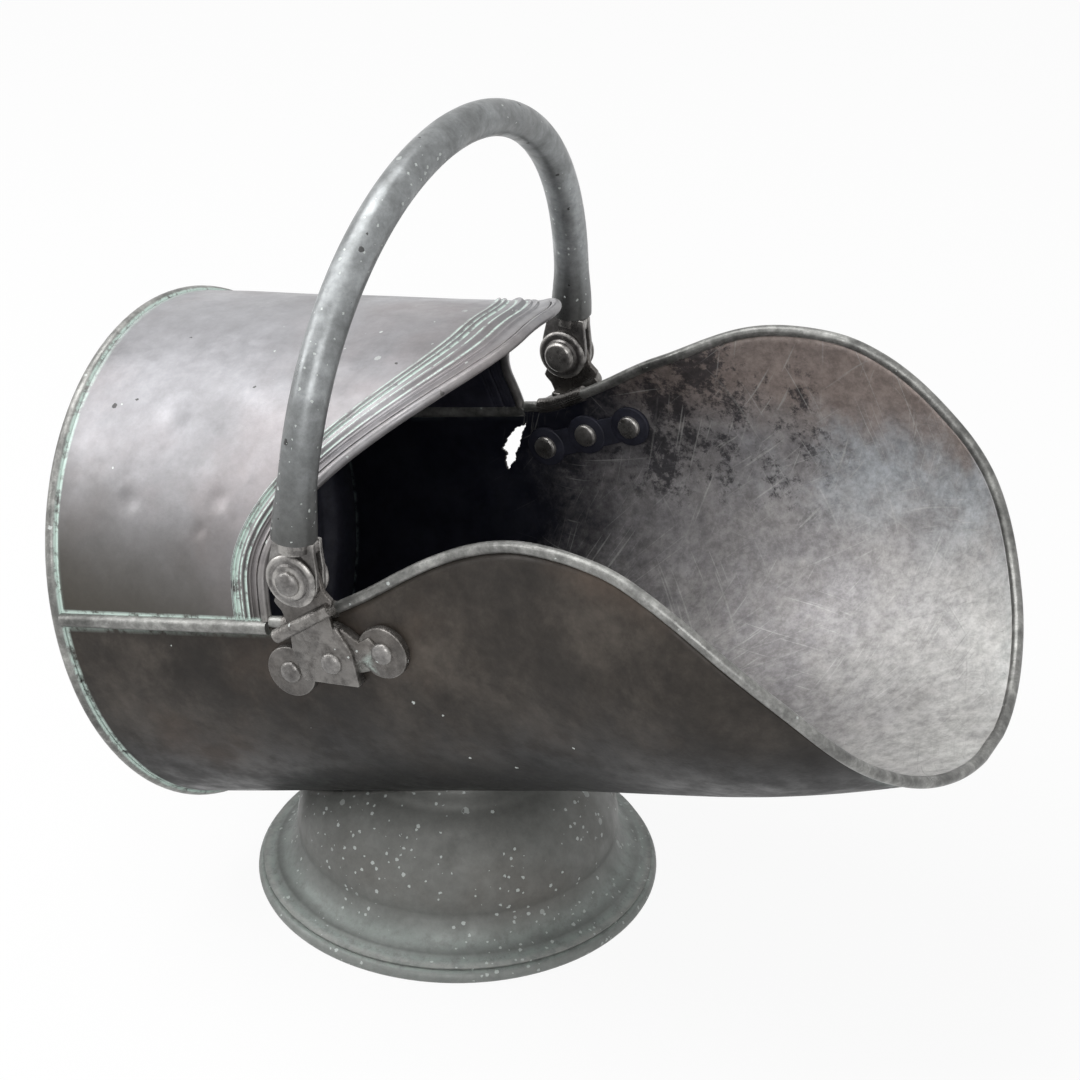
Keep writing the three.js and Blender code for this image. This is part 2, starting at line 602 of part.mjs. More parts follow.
/** A pivot pin with a riveted dome at each end. */
function pin(side) {
  const seat = FORK_FACE + ROSETTE.height + 2 * SEAT;
  const end = seat + PIN_HEAD.height;
  const profile = new THREE.Path()
    .moveTo(0, -end)
    .quadraticCurveTo(PIN_HEAD.radius * 0.8, -end, PIN_HEAD.radius, -seat)
    .lineTo(PIN_RADIUS, -seat)
    .lineTo(PIN_RADIUS, seat)
    .lineTo(PIN_HEAD.radius, seat)
    .quadraticCurveTo(PIN_HEAD.radius * 0.8, end, 0, end);
  return new THREE.LatheGeometry(profile.getPoints(3), AROUND_SMALL).translate(
    PIVOT_U,
    side * PIVOT_SPAN,
    PIVOT_V,
  );
}

// ---------------------------------------------------------------- assembly
const SIDES = [
  { name: "near", side: -1 },
  { name: "far", side: 1 },
];

const scuttle = new THREE.Group();
const body = new THREE.Group();
const handle = new THREE.Group();
body.position.set(BODY_BACK, 0, BODY_HEIGHT);
body.rotation.y = -BODY_PITCH;
handle.position.set(PIVOT_U, 0, PIVOT_V);
handle.rotation.y = HANDLE_LEAN;
body.add(handle);
scuttle.add(body);
scuttle.updateMatrixWorld(true);

const bodyCore = core(SEAT);
const coreOnFloor = bodyCore.transform(body.matrixWorld.toArray());

scuttle.add(piece("foot_shell", footShell(coreOnFloor), GREY));
scuttle.add(piece("foot_base_wire", footWire(), GREY));
body.add(piece("body_pan", pan(), BROWN));
body.add(piece("scoop_rim_wire", scoopWire(), GREY));
body.add(piece("hood", hood(), LILAC));
body.add(piece("hood_front_wire", hoodWire(), GREY));
body.add(piece("back_plate", backPlate(), BROWN));
body.add(piece("back_rim_bead", backBead(), GREY));
handle.add(piece("handle_tube", handleTube(), GREY));
for (const { name, side } of SIDES) {
  body.add(piece(`seam_bead_${name}`, seamBead(side), GREY));
  body.add(piece(`bracket_${name}`, bracket(side, bodyCore), IRON));
  body.add(piece(`backing_plate_${name}`, backingPlate(side), IRON));
  RIVETS.forEach((hole, i) => body.add(piece(`rivet_${name}_${i + 1}`, rivet(hole, side), IRON)));
  body.add(piece(`pivot_pin_${name}`, pin(side), IRON));
  body.add(piece(`rosette_outer_${name}`, rosette(side, 1), GREY));
  body.add(piece(`rosette_inner_${name}`, rosette(side, -1), GREY));
  handle.add(piece(`handle_fork_${name}`, fork(side), IRON));
}

// The origin lies under the middle of the whole outline.
const outline = new THREE.Box3().setFromObject(scuttle, true);
for (const group of scuttle.children) group.position.x -= (outline.min.x + outline.max.x) / 2;

export default scuttle;
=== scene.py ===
"""A helmet coal scuttle of patinated sheet metal, dressed on its measured frame.

The tub is an open tube along u, pitched mouth-up, with a hood over its back half. Lengths are metres.
"""

import logging
import math
from dataclasses import dataclass, field
from enum import Enum
from typing import Callable, Iterable, Sequence

import bmesh
import bpy
from mathutils import Matrix, Vector, noise


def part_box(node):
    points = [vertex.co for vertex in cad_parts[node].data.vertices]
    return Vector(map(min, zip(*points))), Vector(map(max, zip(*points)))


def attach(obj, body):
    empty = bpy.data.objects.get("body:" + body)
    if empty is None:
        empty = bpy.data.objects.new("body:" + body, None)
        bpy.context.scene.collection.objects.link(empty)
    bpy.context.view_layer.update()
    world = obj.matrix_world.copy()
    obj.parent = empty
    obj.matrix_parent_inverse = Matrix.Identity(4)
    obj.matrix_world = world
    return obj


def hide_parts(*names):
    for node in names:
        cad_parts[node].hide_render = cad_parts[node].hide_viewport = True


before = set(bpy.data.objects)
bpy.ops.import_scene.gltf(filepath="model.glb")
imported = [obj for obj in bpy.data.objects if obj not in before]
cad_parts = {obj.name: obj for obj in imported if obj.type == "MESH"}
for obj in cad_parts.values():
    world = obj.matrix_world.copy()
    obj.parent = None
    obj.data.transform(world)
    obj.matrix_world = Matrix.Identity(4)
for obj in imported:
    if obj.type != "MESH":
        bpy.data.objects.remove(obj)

log = logging.getLogger("coal scuttle")

MM = 0.001
HALF_TURN = math.pi
FULL_TURN = 2 * math.pi
QUARTER_TURN = math.pi / 2
MERGE = 1e-6  # points closer than this become one
EDGE_GAP = 0.0002  # between a sheet's edge and its wire
SEAT = 0.0004  # clearance of the foot's neck under the tub
SHARP = math.radians(38)  # a steeper fold between two faces stays crisp
SHARP_CORNER = 0.6  # a plate's edge that turns by more than this is bevelled

BMesh = bmesh.types.BMesh
Material = bpy.types.Material
Socket = bpy.types.NodeSocket
Place = Callable[[float, float], Vector]
Edge = Callable[[float], tuple[float, float]]
Inputs = dict[str | int, object]
Triple = tuple[float, float, float]
Colour = Triple
Pair = tuple[float, float]
Outline = Sequence[tuple[float, float]]


class Side(Enum):
    """The two sides of the scuttle, as signs of y."""

    NEAR = -1
    FAR = 1

    @property
    def word(self) -> str:
        """The side's name in the frame's node names."""
        return self.name.lower()


class Body(Enum):
    """The two moving bodies of the frame."""

    TUB = "scuttle"
    HANDLE = "handle"


def smoothstep(value: float, low: float, high: float) -> float:
    """A smooth rise from 0 at low to 1 at high."""
    share = min(max((value - low) / (high - low), 0.0), 1.0)
    return share * share * (3 - 2 * share)


def mix(a: float, b: float, share: float) -> float:
    """The value a share of the way from a to b."""
    return a + (b - a) * share


def bump_at(offset: float, reach: float) -> float:
    """A round hump of height 1 at offset 0 that ends at reach."""
    return math.cos(min(abs(offset) / reach, 1.0) * QUARTER_TURN) ** 2


def through(knots: Sequence[Vector], share: float) -> Vector:
    """A point of the smooth curve through the knots.

    Args:
        knots: Points that the curve passes, at even steps of its share.
        share: 0 at the first knot and 1 at the last.

    Returns:
        The point at that share.
    """
    spans = len(knots) - 1
    place = min(max(share, 0.0), 1.0) * spans
    at = min(int(place), spans - 1)
    t = place - at
    p = [knots[min(max(at + step, 0), spans)] for step in (-1, 0, 1, 2)]
    ahead, back = (p[2] - p[0]) / 2, (p[3] - p[1]) / 2
    return (
        p[1]
        + ahead * t
        + (3 * (p[2] - p[1]) - 2 * ahead - back) * t * t
        + (2 * (p[1] - p[2]) + ahead + back) * t * t * t
    )


def bezier(a: Vector, b: Vector, c: Vector, d: Vector, steps: int) -> list[Vector]:
    """Points of a cubic curve after its start, up to its end.

    Args:
        a: Its start.
        b: The pull at its start.
        c: The pull at its end.
        d: Its end.
        steps: How many points.

    Returns:
        The points.
    """
    points = []
    for i in range(1, steps + 1):
        t = i / steps
        points.append(a * (1 - t) ** 3 + b * 3 * t * (1 - t) ** 2 + c * 3 * t * t * (1 - t) + d * t**3)
    return points


def sheet_grid(columns: int, rows: int, place: Place) -> BMesh:
    """A grid of faces laid over a surface.

    Args:
        columns: Faces along s.
        rows: Faces along t.
        place: Gives the point for s and t, each from 0 to 1.

    Returns:
        The mesh, with a "wall" UV map of s and t.
    """
    bm = bmesh.new()
    bmesh.ops.create_grid(bm, x_segments=columns, y_segments=rows, size=0.5)
    uv = bm.loops.layers.uv.new("wall")
    for face in bm.faces:
        for loop in face.loops:
            loop[uv].uv = (loop.vert.co.x + 0.5, loop.vert.co.y + 0.5)
    for vert in bm.verts:
        vert.co = place(vert.co.x + 0.5, vert.co.y + 0.5)
    return bm


def tube(
    points: Sequence[Vector],
    radius: float,
    sides: int = 16,
    closed: bool = False,
    flare: Callable[[float], float] = lambda s: 0.0,
) -> BMesh:
    """A round bar along a line of points.

    Args:
        points: The bar's middle line.
        radius: Its radius.
        sides: Faces around it.
        closed: Whether the line runs back into its start.
        flare: What the radius gains at a share of the length.

    Returns:
        The closed mesh, facing out.
    """
    count = len(points)
    spans = count if closed else count - 1
    frames: list[tuple[Vector, Vector, Vector]] = []
    across = Vector((0, 0, 1))
    for i, point in enumerate(points):
        ahead = points[(i + 1) % count] if closed or i + 1 < count else point
        behind = points[i - 1] if closed or i > 0 else point
        along = (ahead - behind).normalized()
        across = across - along * across.dot(along)
        if across.length < MERGE:
            across = along.orthogonal()
        across.normalize()
        frames.append((point, across.copy(), along.cross(across)))

    def on_ring(s: float, t: float) -> Vector:
        """The bar's surface at a share s of its length and t of its way round.

        Args:
            s: Share of the length.
            t: Share of the turn.

        Returns:
            The point.
        """
        middle, x, y = frames[round(s * spans) % count]
        turn = t * FULL_TURN
        return middle + (x * math.cos(turn) + y * math.sin(turn)) * (radius + flare(s))

    bm = sheet_grid(spans, sides, on_ring)
    bmesh.ops.remove_doubles(bm, verts=bm.verts, dist=MERGE)
    if not closed:
        bmesh.ops.holes_fill(bm, edges=[edge for edge in bm.edges if edge.is_boundary], sides=0)
    bmesh.ops.recalc_face_normals(bm, faces=bm.faces)
    return bm


def turned(profile: Sequence[Vector], middle: Vector, axis: Vector, start: Vector, steps: int) -> BMesh:
    """A form spun from a profile.

    Args:
        profile: Pairs of radius and height along the axis.
        middle: A point of the axis at height 0.
        axis: The axis's direction.
        start: Square to the axis, where the profile stands.
        steps: Faces around.

    Returns:
        The spun mesh, with its doubles merged.
    """
    bm = bmesh.new()
    verts = [bm.verts.new(middle + start * p.x + axis * p.y) for p in profile]
    edges = [bm.edges.new(pair) for pair in zip(verts, verts[1:])]
    bmesh.ops.spin(
        bm, geom=verts + edges, cent=middle, axis=axis, angle=FULL_TURN, steps=steps, use_merge=True
    )
    bmesh.ops.remove_doubles(bm, verts=bm.verts, dist=2 * MERGE)
    return bm


def outline_slab(outline: Sequence[Vector], depth: Vector, bevel: float) -> BMesh:
    """A plate of one outline with softened edges.

    Args:
        outline: Its corners in order.
        depth: From this face to the other.
        bevel: Width of the softened edges.

    Returns:
        The closed mesh.
    """
    bm = bmesh.new()
    face = bmesh.ops.contextual_create(bm, geom=[bm.verts.new(point) for point in outline])["faces"][0]
    grown = bmesh.ops.extrude_face_region(bm, geom=[face])["geom"]
    bmesh.ops.translate(bm, vec=depth, verts=[item for item in grown if isinstance(item, bmesh.types.BMVert)])
    bmesh.ops.recalc_face_normals(bm, faces=bm.faces)
    rims = [edge for edge in bm.edges if edge.calc_face_angle(0.0) > SHARP_CORNER]
    bmesh.ops.bevel(
        bm, geom=rims, offset=bevel, segments=3, profile=0.5, affect="EDGES", material=-1, clamp_overlap=True
    )
    return bm


def joined(parts: Iterable[BMesh]) -> BMesh:
    """Several meshes in one, each still closed by itself.

    Args:
        parts: The meshes. They are freed.

    Returns:
        The whole.
    """
    whole = bmesh.new()
    for part in parts:
        carrier = bpy.data.meshes.new("joining")
        part.to_mesh(carrier)
        part.free()
        whole.from_mesh(carrier)
        bpy.data.meshes.remove(carrier)
    return whole


def facing(bm: BMesh, outward: Callable[[Vector], Vector]) -> None:
    """Turns an open sheet's faces to look along outward(point).

    Args:
        bm: The sheet.
        outward: Gives the way out at a point.
    """
    bm.normal_update()
    total = sum(face.normal.dot(outward(face.calc_center_median())) * face.calc_area() for face in bm.faces)
    if total < 0:
        bmesh.ops.reverse_faces(bm, faces=bm.faces)


def paint(bm: BMesh, name: str, amount: Callable[[Vector], float]) -> None:
    """Stores a value at each point of the mesh, for its material to read.

    Args:
        bm: The mesh.
        name: The value's name.
        amount: Gives the value at a point.
    """
    layer = bm.verts.layers.float.new(name)
    for vert in bm.verts:
        vert[layer] = amount(vert.co)


@dataclass
class Piece:
    """One finished piece of the scuttle, ready to be dressed."""

    name: str
    body: Body
    slot: str
    replaces: Sequence[str]

    def make(self, bm: BMesh, finishes: Sequence[Material], wall: float = 0.0) -> None:
        """Turns the mesh into an object of the scene.

        Args:
            bm: The mesh, in the frame's own place. It is freed.
            finishes: The outer finish, and the inner one of a sheet.
            wall: Thickness that a sheet gets on its inner side.
        """
        bm.normal_update()
        for face in bm.faces:
            face.smooth = True
        for edge in bm.edges:
            edge.smooth = edge.calc_face_angle(0.0) < SHARP
        mesh = bpy.data.meshes.new(self.name)
        bm.to_mesh(mesh)
        bm.free()
        for finish in finishes:
            mesh.materials.append(finish)
        piece = bpy.data.objects.new(self.name, mesh)
        bpy.context.scene.collection.objects.link(piece)
        if wall:
            thick = piece.modifiers.new("wall", "SOLIDIFY")
            thick.thickness = wall
            thick.offset = -1
            thick.material_offset = len(finishes) - 1
            thick.material_offset_rim = 0
        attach(piece, self.body.value)
        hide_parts(*self.replaces)
        log.info("%s: %d faces", self.name, len(mesh.polygons))


@dataclass(frozen=True)
class TubForm:
    """The wall that the pan and the hood share, and the way it stands in the frame."""

    foot_x: float
    radius: float = 0.138
    length: float = 0.4324
    pitch: float = math.radians(14.5)
    height: float = 0.166
    behind_foot: float = 0.152
    keel_taper: float = 0.066
    roof_taper: float = 0.077
    seam_angle: float = math.radians(8)
    hood_crown: float = 0.228
    hood_side: float = 0.125
    sweep: tuple[float, float] = (math.radians(5), math.radians(72))
    wing_rise: tuple[float, float] = (0.227, 0.300)
    wing_upright: float = 0.095
    flare: float = 0.010
    flare_rise: tuple[float, float] = (0.230, 0.345)
    lip_narrowing: float = 0.026
    lip_angle: float = math.radians(5.5)
    sheet: float = 0.0016

    @property
    def along(self) -> Vector:
        """Direction of u, from the back to the mouth."""
        return Vector((math.cos(self.pitch), 0, math.sin(self.pitch)))

    @property
    def up(self) -> Vector:
        """Direction of v, square to u."""
        return Vector((-math.sin(self.pitch), 0, math.cos(self.pitch)))

    @property
    def back(self) -> Vector:
        """Middle of the tub's back end."""
        return Vector((self.foot_x - self.behind_foot, 0, self.height))

    def point(self, u: float, y: float, v: float) -> Vector:
        """The frame's point at u along, y across and v up from the tub's axis."""
        return self.back + self.along * u + self.up * v + Vector((0, y, 0))

    def local(self, point: Vector) -> Vector:
        """u, y and v of a point of the frame."""
        off = point - self.back
        return Vector((off.dot(self.along), off.y, off.dot(self.up)))

    def half_width(self, u: float) -> float:
        """Half the wall's width at u."""
        beyond = max(0.0, (u - self.flare_rise[1]) / (self.length - self.flare_rise[1]))
        return self.radius + self.flare * smoothstep(u, *self.flare_rise) - self.lip_narrowing * beyond**2

    def keel(self, u: float) -> float:
        """Depth of the bottom below the axis."""
        return self.radius - self.keel_taper * u

    def roof(self, u: float) -> float:
        """Height of the hood above the axis."""
        return self.radius - self.roof_taper * u

    def wing(self, u: float) -> float:
        """Height of the upper curve that the wings follow."""
        return self.roof(u) + self.wing_upright * smoothstep(u, *self.wing_rise)

    def on_wall(self, u: float, angle: float, grow: float = 0.0, hooded: bool = False) -> Vector:
        """A point of the wall, as u, y and v.

        Args:
            u: Place along the axis.
            angle: Turn above the widest line on the far side.
            grow: Distance outwards.
            hooded: Whether the point is of the hood and not of a wing.

        Returns:
            The point in the tub's own lines.
        """
        upper = self.roof(u) if hooded else self.wing(u)
        height = upper if math.sin(angle) > 0 else self.keel(u)
        return Vector((u, (self.half_width(u) + grow) * math.cos(angle), (height + grow) * math.sin(angle)))

    def holds(self, point: Vector) -> bool:
        """Whether a point of the frame lies within the tub's lower wall or on it."""
        at = self.local(point)
        return (at.y / (self.half_width(at.x) + SEAT)) ** 2 + (at.z / (self.keel(at.x) + SEAT)) ** 2 < 1

    def in_frame(self, local: Vector) -> Vector:
        """A point given as u, y and v, in the frame."""
        return self.point(local.x, local.y, local.z)

    @property
    def rim_knots(self) -> list[Vector]:
        """The pan's trimmed edge in side view, from the hood's corner over the wing to the lip.

        Returns:
            Its knots, as pairs of u and v.
        """
        start = self.hood_side + 0.004
        seam = self.roof(start) * math.sin(self.seam_angle)
        lip = -self.keel(self.length) * math.cos(self.lip_angle)
        between = [
            (150, 19), (185, 30.5), (227, 47), (277, 58.6), (319, 52.6),
            (347.4, 36.7), (374.4, 9.3), (400, -25.9), (418.6, -72.6), (428, -98.3),
        ]  # fmt: skip
        line = [(start, seam), *((u * MM, v * MM) for u, v in between), (self.length, lip)]
        return [Vector(pair) for pair in line]

    def rim_at(self, share: float) -> tuple[float, float]:
        """u and angle of the pan's edge at a share of its line.

        Args:
            share: Share of the rim line.

        Returns:
            u, and the turn above the widest line.
        """
        at = through(self.rim_knots, share)
        limit = self.wing(at.x) if at.y > 0 else self.keel(at.x)
        return at.x, math.asin(max(-1.0, min(1.0, at.y / limit)))

    def hood_edge(self, angle: float) -> float:
        """The hood's length at an angle."""
        return mix(self.hood_crown, self.hood_side, smoothstep(abs(angle - QUARTER_TURN), *self.sweep))

    def beside_edge(self, edge: Edge, t: float, off: float, hooded: bool) -> Vector:
        """A point beside a sheet's edge, in line with the sheet.

        Args:
            edge: Gives u and angle of the edge at t.
            t: Place along the edge.
            off: Distance off the edge.
            hooded: Whether it is the hood's edge.

        Returns:
            The point in the tub's own lines.
        """
        step = 1e-3
        u, angle = edge(t)

        def on(at_u: float, at_angle: float) -> Vector:
            """The middle of the sheet."""
            return self.on_wall(at_u, at_angle, -self.sheet / 2, hooded)

        along = on(*edge(t + step)) - on(*edge(t - step))
        lengthwise = on(u + step, angle) - on(u - step, angle)
        crosswise = on(u, angle + step) - on(u, angle - step)
        return on(u, angle) + lengthwise.cross(crosswise).cross(along).normalized() * off

    def rim_wire(self, share: float, side: int, off: float) -> Vector:
        """The middle of the rolled rim at a share of the rim line, as u, y and v.

        Args:
            share: Share of the rim line.
            side: 1 for the far side and -1 for the near one.
            off: Distance off the sheet's edge.

        Returns:
            The point in the tub's own lines.
        """

        def edge(s: float) -> tuple[float, float]:
            """The rim held within its ends."""
            return self.rim_at(min(max(s, 0.0), 1.0))

        at = self.beside_edge(edge, share, off, False)
        return Vector((at.x, at.y * side, at.z))


FLOAT = "NodeSocketFloat"
VECTOR = "NodeSocketVector"


class Tree:
    """A node tree with short ways to add and join its nodes."""

    def __init__(self, tree: bpy.types.NodeTree) -> None:
        """Keeps the tree that the nodes go into."""
        self.tree = tree

    def add(self, kind: str, inputs: Inputs | None = None, **settings: object) -> bpy.types.Node:
        """A new node.

        Args:
            kind: The node's type.
            inputs: Values, or sockets to join, by input name or number.
            **settings: The node's own settings.

        Returns:
            The node.
        """
        node = self.tree.nodes.new(kind)
        for name, value in settings.items():
            setattr(node, name, value)
        for name, value in (inputs or {}).items():
            if isinstance(value, Socket):
                self.tree.links.new(value, node.inputs[name])
            else:
                node.inputs[name].default_value = value
        return node

    def use(self, group: bpy.types.NodeTree, inputs: Inputs) -> Socket:
        """The output of a node group that is given values or sockets by name."""
        return self.add("ShaderNodeGroup", inputs, node_tree=group).outputs[0]

    def math(self, operation: str, a: object, b: object = 0.0, clamp: bool = False) -> Socket:
        """The result of a sum of two values or sockets."""
        return self.add("ShaderNodeMath", {0: a, 1: b}, operation=operation, use_clamp=clamp).outputs[0]

    def times(self, *factors: object) -> Socket:
        """The product of values or sockets.

        Args:
            *factors: What is multiplied.

        Returns:
            The product.
        """
        product = factors[0]
        for factor in factors[1:]:
            product = self.math("MULTIPLY", product, factor)
        return product

    def blend(self, share: object, a: object, b: object, mode: str = "MIX") -> Socket:
        """One colour laid over another by a share."""
        a, b = (value if isinstance(value, Socket) else (*value, 1.0) for value in (a, b))
        return self.add("ShaderNodeMix", {0: share, 6: a, 7: b}, data_type="RGBA", blend_type=mode).outputs[2]

    def spread(
        self, value: object, low: float, high: float, to_low: float = 0.0, to_high: float = 1.0
    ) -> Socket:
        """A value stretched from one range to another, held at its ends."""
        inputs = {"Value": value, "From Min": low, "From Max": high, "To Min": to_low, "To Max": to_high}
        return self.add("ShaderNodeMapRange", inputs, interpolation_type="SMOOTHSTEP").outputs[0]

    def noise(
        self, vector: Socket, scale: object, detail: float = 4.0, rough: float = 0.55, warp: float = 0.0
    ) -> Socket:
        """Cloudy noise from 0 to 1."""
        inputs = {"Vector": vector, "Scale": scale, "Detail": detail, "Roughness": rough, "Distortion": warp}
        return self.add("ShaderNodeTexNoise", inputs).outputs["Fac"]

    def drift(self, vector: Socket, scale: float, detail: float, rough: float, reach: float) -> Socket:
        """Cloudy noise that strays half its reach to either side of 0."""
        return self.times(self.math("SUBTRACT", self.noise(vector, scale, detail, rough), 0.5), reach)

    def vectors(self, operation: str, a: object, b: object) -> bpy.types.Node:
        """A sum of two vectors."""
        return self.add("ShaderNodeVectorMath", {0: a, 1: b}, operation=operation)

    def height(self, vector: Socket) -> Socket:
        """The upright part of a vector."""
        return self.add("ShaderNodeSeparateXYZ", {0: vector}).outputs[2]


@dataclass
class Effects:
    """The surface effects that several finishes share, each built once as a node group."""

    cloud: bpy.types.NodeTree = field(init=False)
    specks: bpy.types.NodeTree = field(init=False)
    scratches: bpy.types.NodeTree = field(init=False)
    relief: bpy.types.NodeTree = field(init=False)
    edges: bpy.types.NodeTree = field(init=False)

    def __post_init__(self) -> None:
        """Builds the groups."""
        self.cloud = self.effect("tarnish clouds", {"Vector": None, "Size": 9.0, "Edge": 0.2}, self.cloudy)
        self.specks = self.effect(
            "scattered specks", {"Vector": None, "Spacing": 260.0, "Spot": 0.2, "Cover": 0.5}, self.speckled
        )
        self.scratches = self.effect("fine scratches", {"Vector": None, "Fineness": 320.0}, self.scratched)
        self.relief = self.effect(
            "worn relief", {"Vector": None, "Dents": 45.0, "Grain size": 600.0, "Grain": 0.25}, self.uneven
        )
        self.edges = self.effect("rubbed edges", {"Vector": None}, self.rubbed)

    def effect(
        self, name: str, inputs: dict[str, float | None], fill: Callable[[Tree, dict[str, Socket]], Socket]
    ) -> bpy.types.NodeTree:
        """One effect as a node group with a single value for its output.

        Args:
            name: The group's name.
            inputs: First values by input name, None for a vector.
            fill: Adds the nodes and gives the result.

        Returns:
            The group.
        """
        group = bpy.data.node_groups.new(name, "ShaderNodeTree")
        for label, value in inputs.items():
            kind = VECTOR if value is None else FLOAT
            socket = group.interface.new_socket(label, in_out="INPUT", socket_type=kind)
            if value is not None:
                socket.default_value = value
        group.interface.new_socket("Value", in_out="OUTPUT", socket_type=FLOAT)
        put = group.nodes.new("NodeGroupInput")
        result = fill(Tree(group), {label: put.outputs[label] for label in inputs})
        group.links.new(result, group.nodes.new("NodeGroupOutput").inputs[0])
        return group

    def cloudy(self, tree: Tree, put: dict[str, Socket]) -> Socket:
        """Clouds at two sizes.

        Args:
            tree: The group's tree.
            put: The group's inputs by name.

        Returns:
            The clouds, from 0 to 1.
        """
        broad = tree.noise(put["Vector"], put["Size"], 8.0, 0.6, 0.5)
        fine = tree.noise(put["Vector"], tree.times(put["Size"], 6.3), 8.0, 0.7, 0.2)
        both = tree.math("ADD", tree.times(broad, 0.62), tree.times(fine, 0.38))
        low, high = tree.math("SUBTRACT", 0.5, put["Edge"]), tree.math("ADD", 0.5, put["Edge"])
        return tree.add("ShaderNodeMapRange", {"Value": both, "From Min": low, "From Max": high}).outputs[0]

    def speckled(self, tree: Tree, put: dict[str, Socket]) -> Socket:
        """Small uneven spots, thick in places and thin in others.

        Args:
            tree: The group's tree.
            put: The group's inputs by name.

        Returns:
            1 on the spots.
        """
        wobble = tree.add("ShaderNodeTexNoise", {"Vector": put["Vector"], "Scale": 900.0, "Detail": 1.0})
        shift = tree.vectors("MULTIPLY", wobble.outputs["Color"], (0.0012,) * 3).outputs[0]
        place = tree.vectors("ADD", put["Vector"], shift).outputs[0]
        spacing = {"Vector": place, "Scale": put["Spacing"], "Randomness": 1.0}
        cells = tree.add("ShaderNodeTexVoronoi", spacing)
        luck = tree.add("ShaderNodeSeparateColor", {0: cells.outputs["Color"]})
        reach = tree.times(put["Spot"], tree.math("ADD", 0.45, luck.outputs[1]))
        near = tree.math("LESS_THAN", cells.outputs["Distance"], reach)
        patch = tree.spread(tree.noise(put["Vector"], 19.0, 4.0), 0.38, 0.68)
        chance = tree.math("LESS_THAN", luck.outputs[0], tree.times(patch, put["Cover"]))
        return tree.times(near, chance)

    def scratched(self, tree: Tree, put: dict[str, Socket]) -> Socket:
        """Thin scratches in several directions over a sheet's own map.

        Args:
            tree: The group's tree.
            put: The group's inputs by name.

        Returns:
            1 on the scratches.
        """
        found: Socket | float = 0.0
        for turn, reach in ((0.5, 5.0), (-0.35, 7.0), (1.25, 9.0), (-1.2, 6.0), (0.9, 12.0)):
            leaning = {"Vector": put["Vector"], "Rotation": (0.0, 0.0, turn)}
            leaning_map = tree.add("ShaderNodeMapping", leaning).outputs[0]
            stretch = tree.add("ShaderNodeCombineXYZ", {0: reach, 1: put["Fineness"], 2: 1.0}).outputs[0]
            stretched = tree.vectors("MULTIPLY", leaning_map, stretch).outputs[0]
            line = tree.spread(tree.noise(stretched, 1.0, 1.0, 0.4), 0.665, 0.70)
            worn = tree.spread(tree.noise(put["Vector"], 5.0 + 2 * turn, 3.0), 0.46, 0.6)
            found = tree.math("MAXIMUM", found, tree.times(line, worn))
        return found

    def uneven(self, tree: Tree, put: dict[str, Socket]) -> Socket:
        """The shallow unevenness of old hand-worked sheet.

        Args:
            tree: The group's tree.
            put: The group's inputs by name.

        Returns:
            The height.
        """
        broad = tree.noise(put["Vector"], put["Dents"], 2.0, 0.5)
        fine = tree.noise(put["Vector"], put["Grain size"], 3.0, 0.6)
        return tree.math("ADD", broad, tree.times(fine, put["Grain"]))

    def rubbed(self, tree: Tree, put: dict[str, Socket]) -> Socket:
        """Edges and corners where the tarnish has been rubbed away, in broken lengths."""
        sharp = tree.spread(tree.add("ShaderNodeNewGeometry").outputs["Pointiness"], 0.51, 0.56)
        return tree.times(sharp, tree.spread(tree.noise(put["Vector"], 120.0, 6.0, 0.7), 0.36, 0.58))


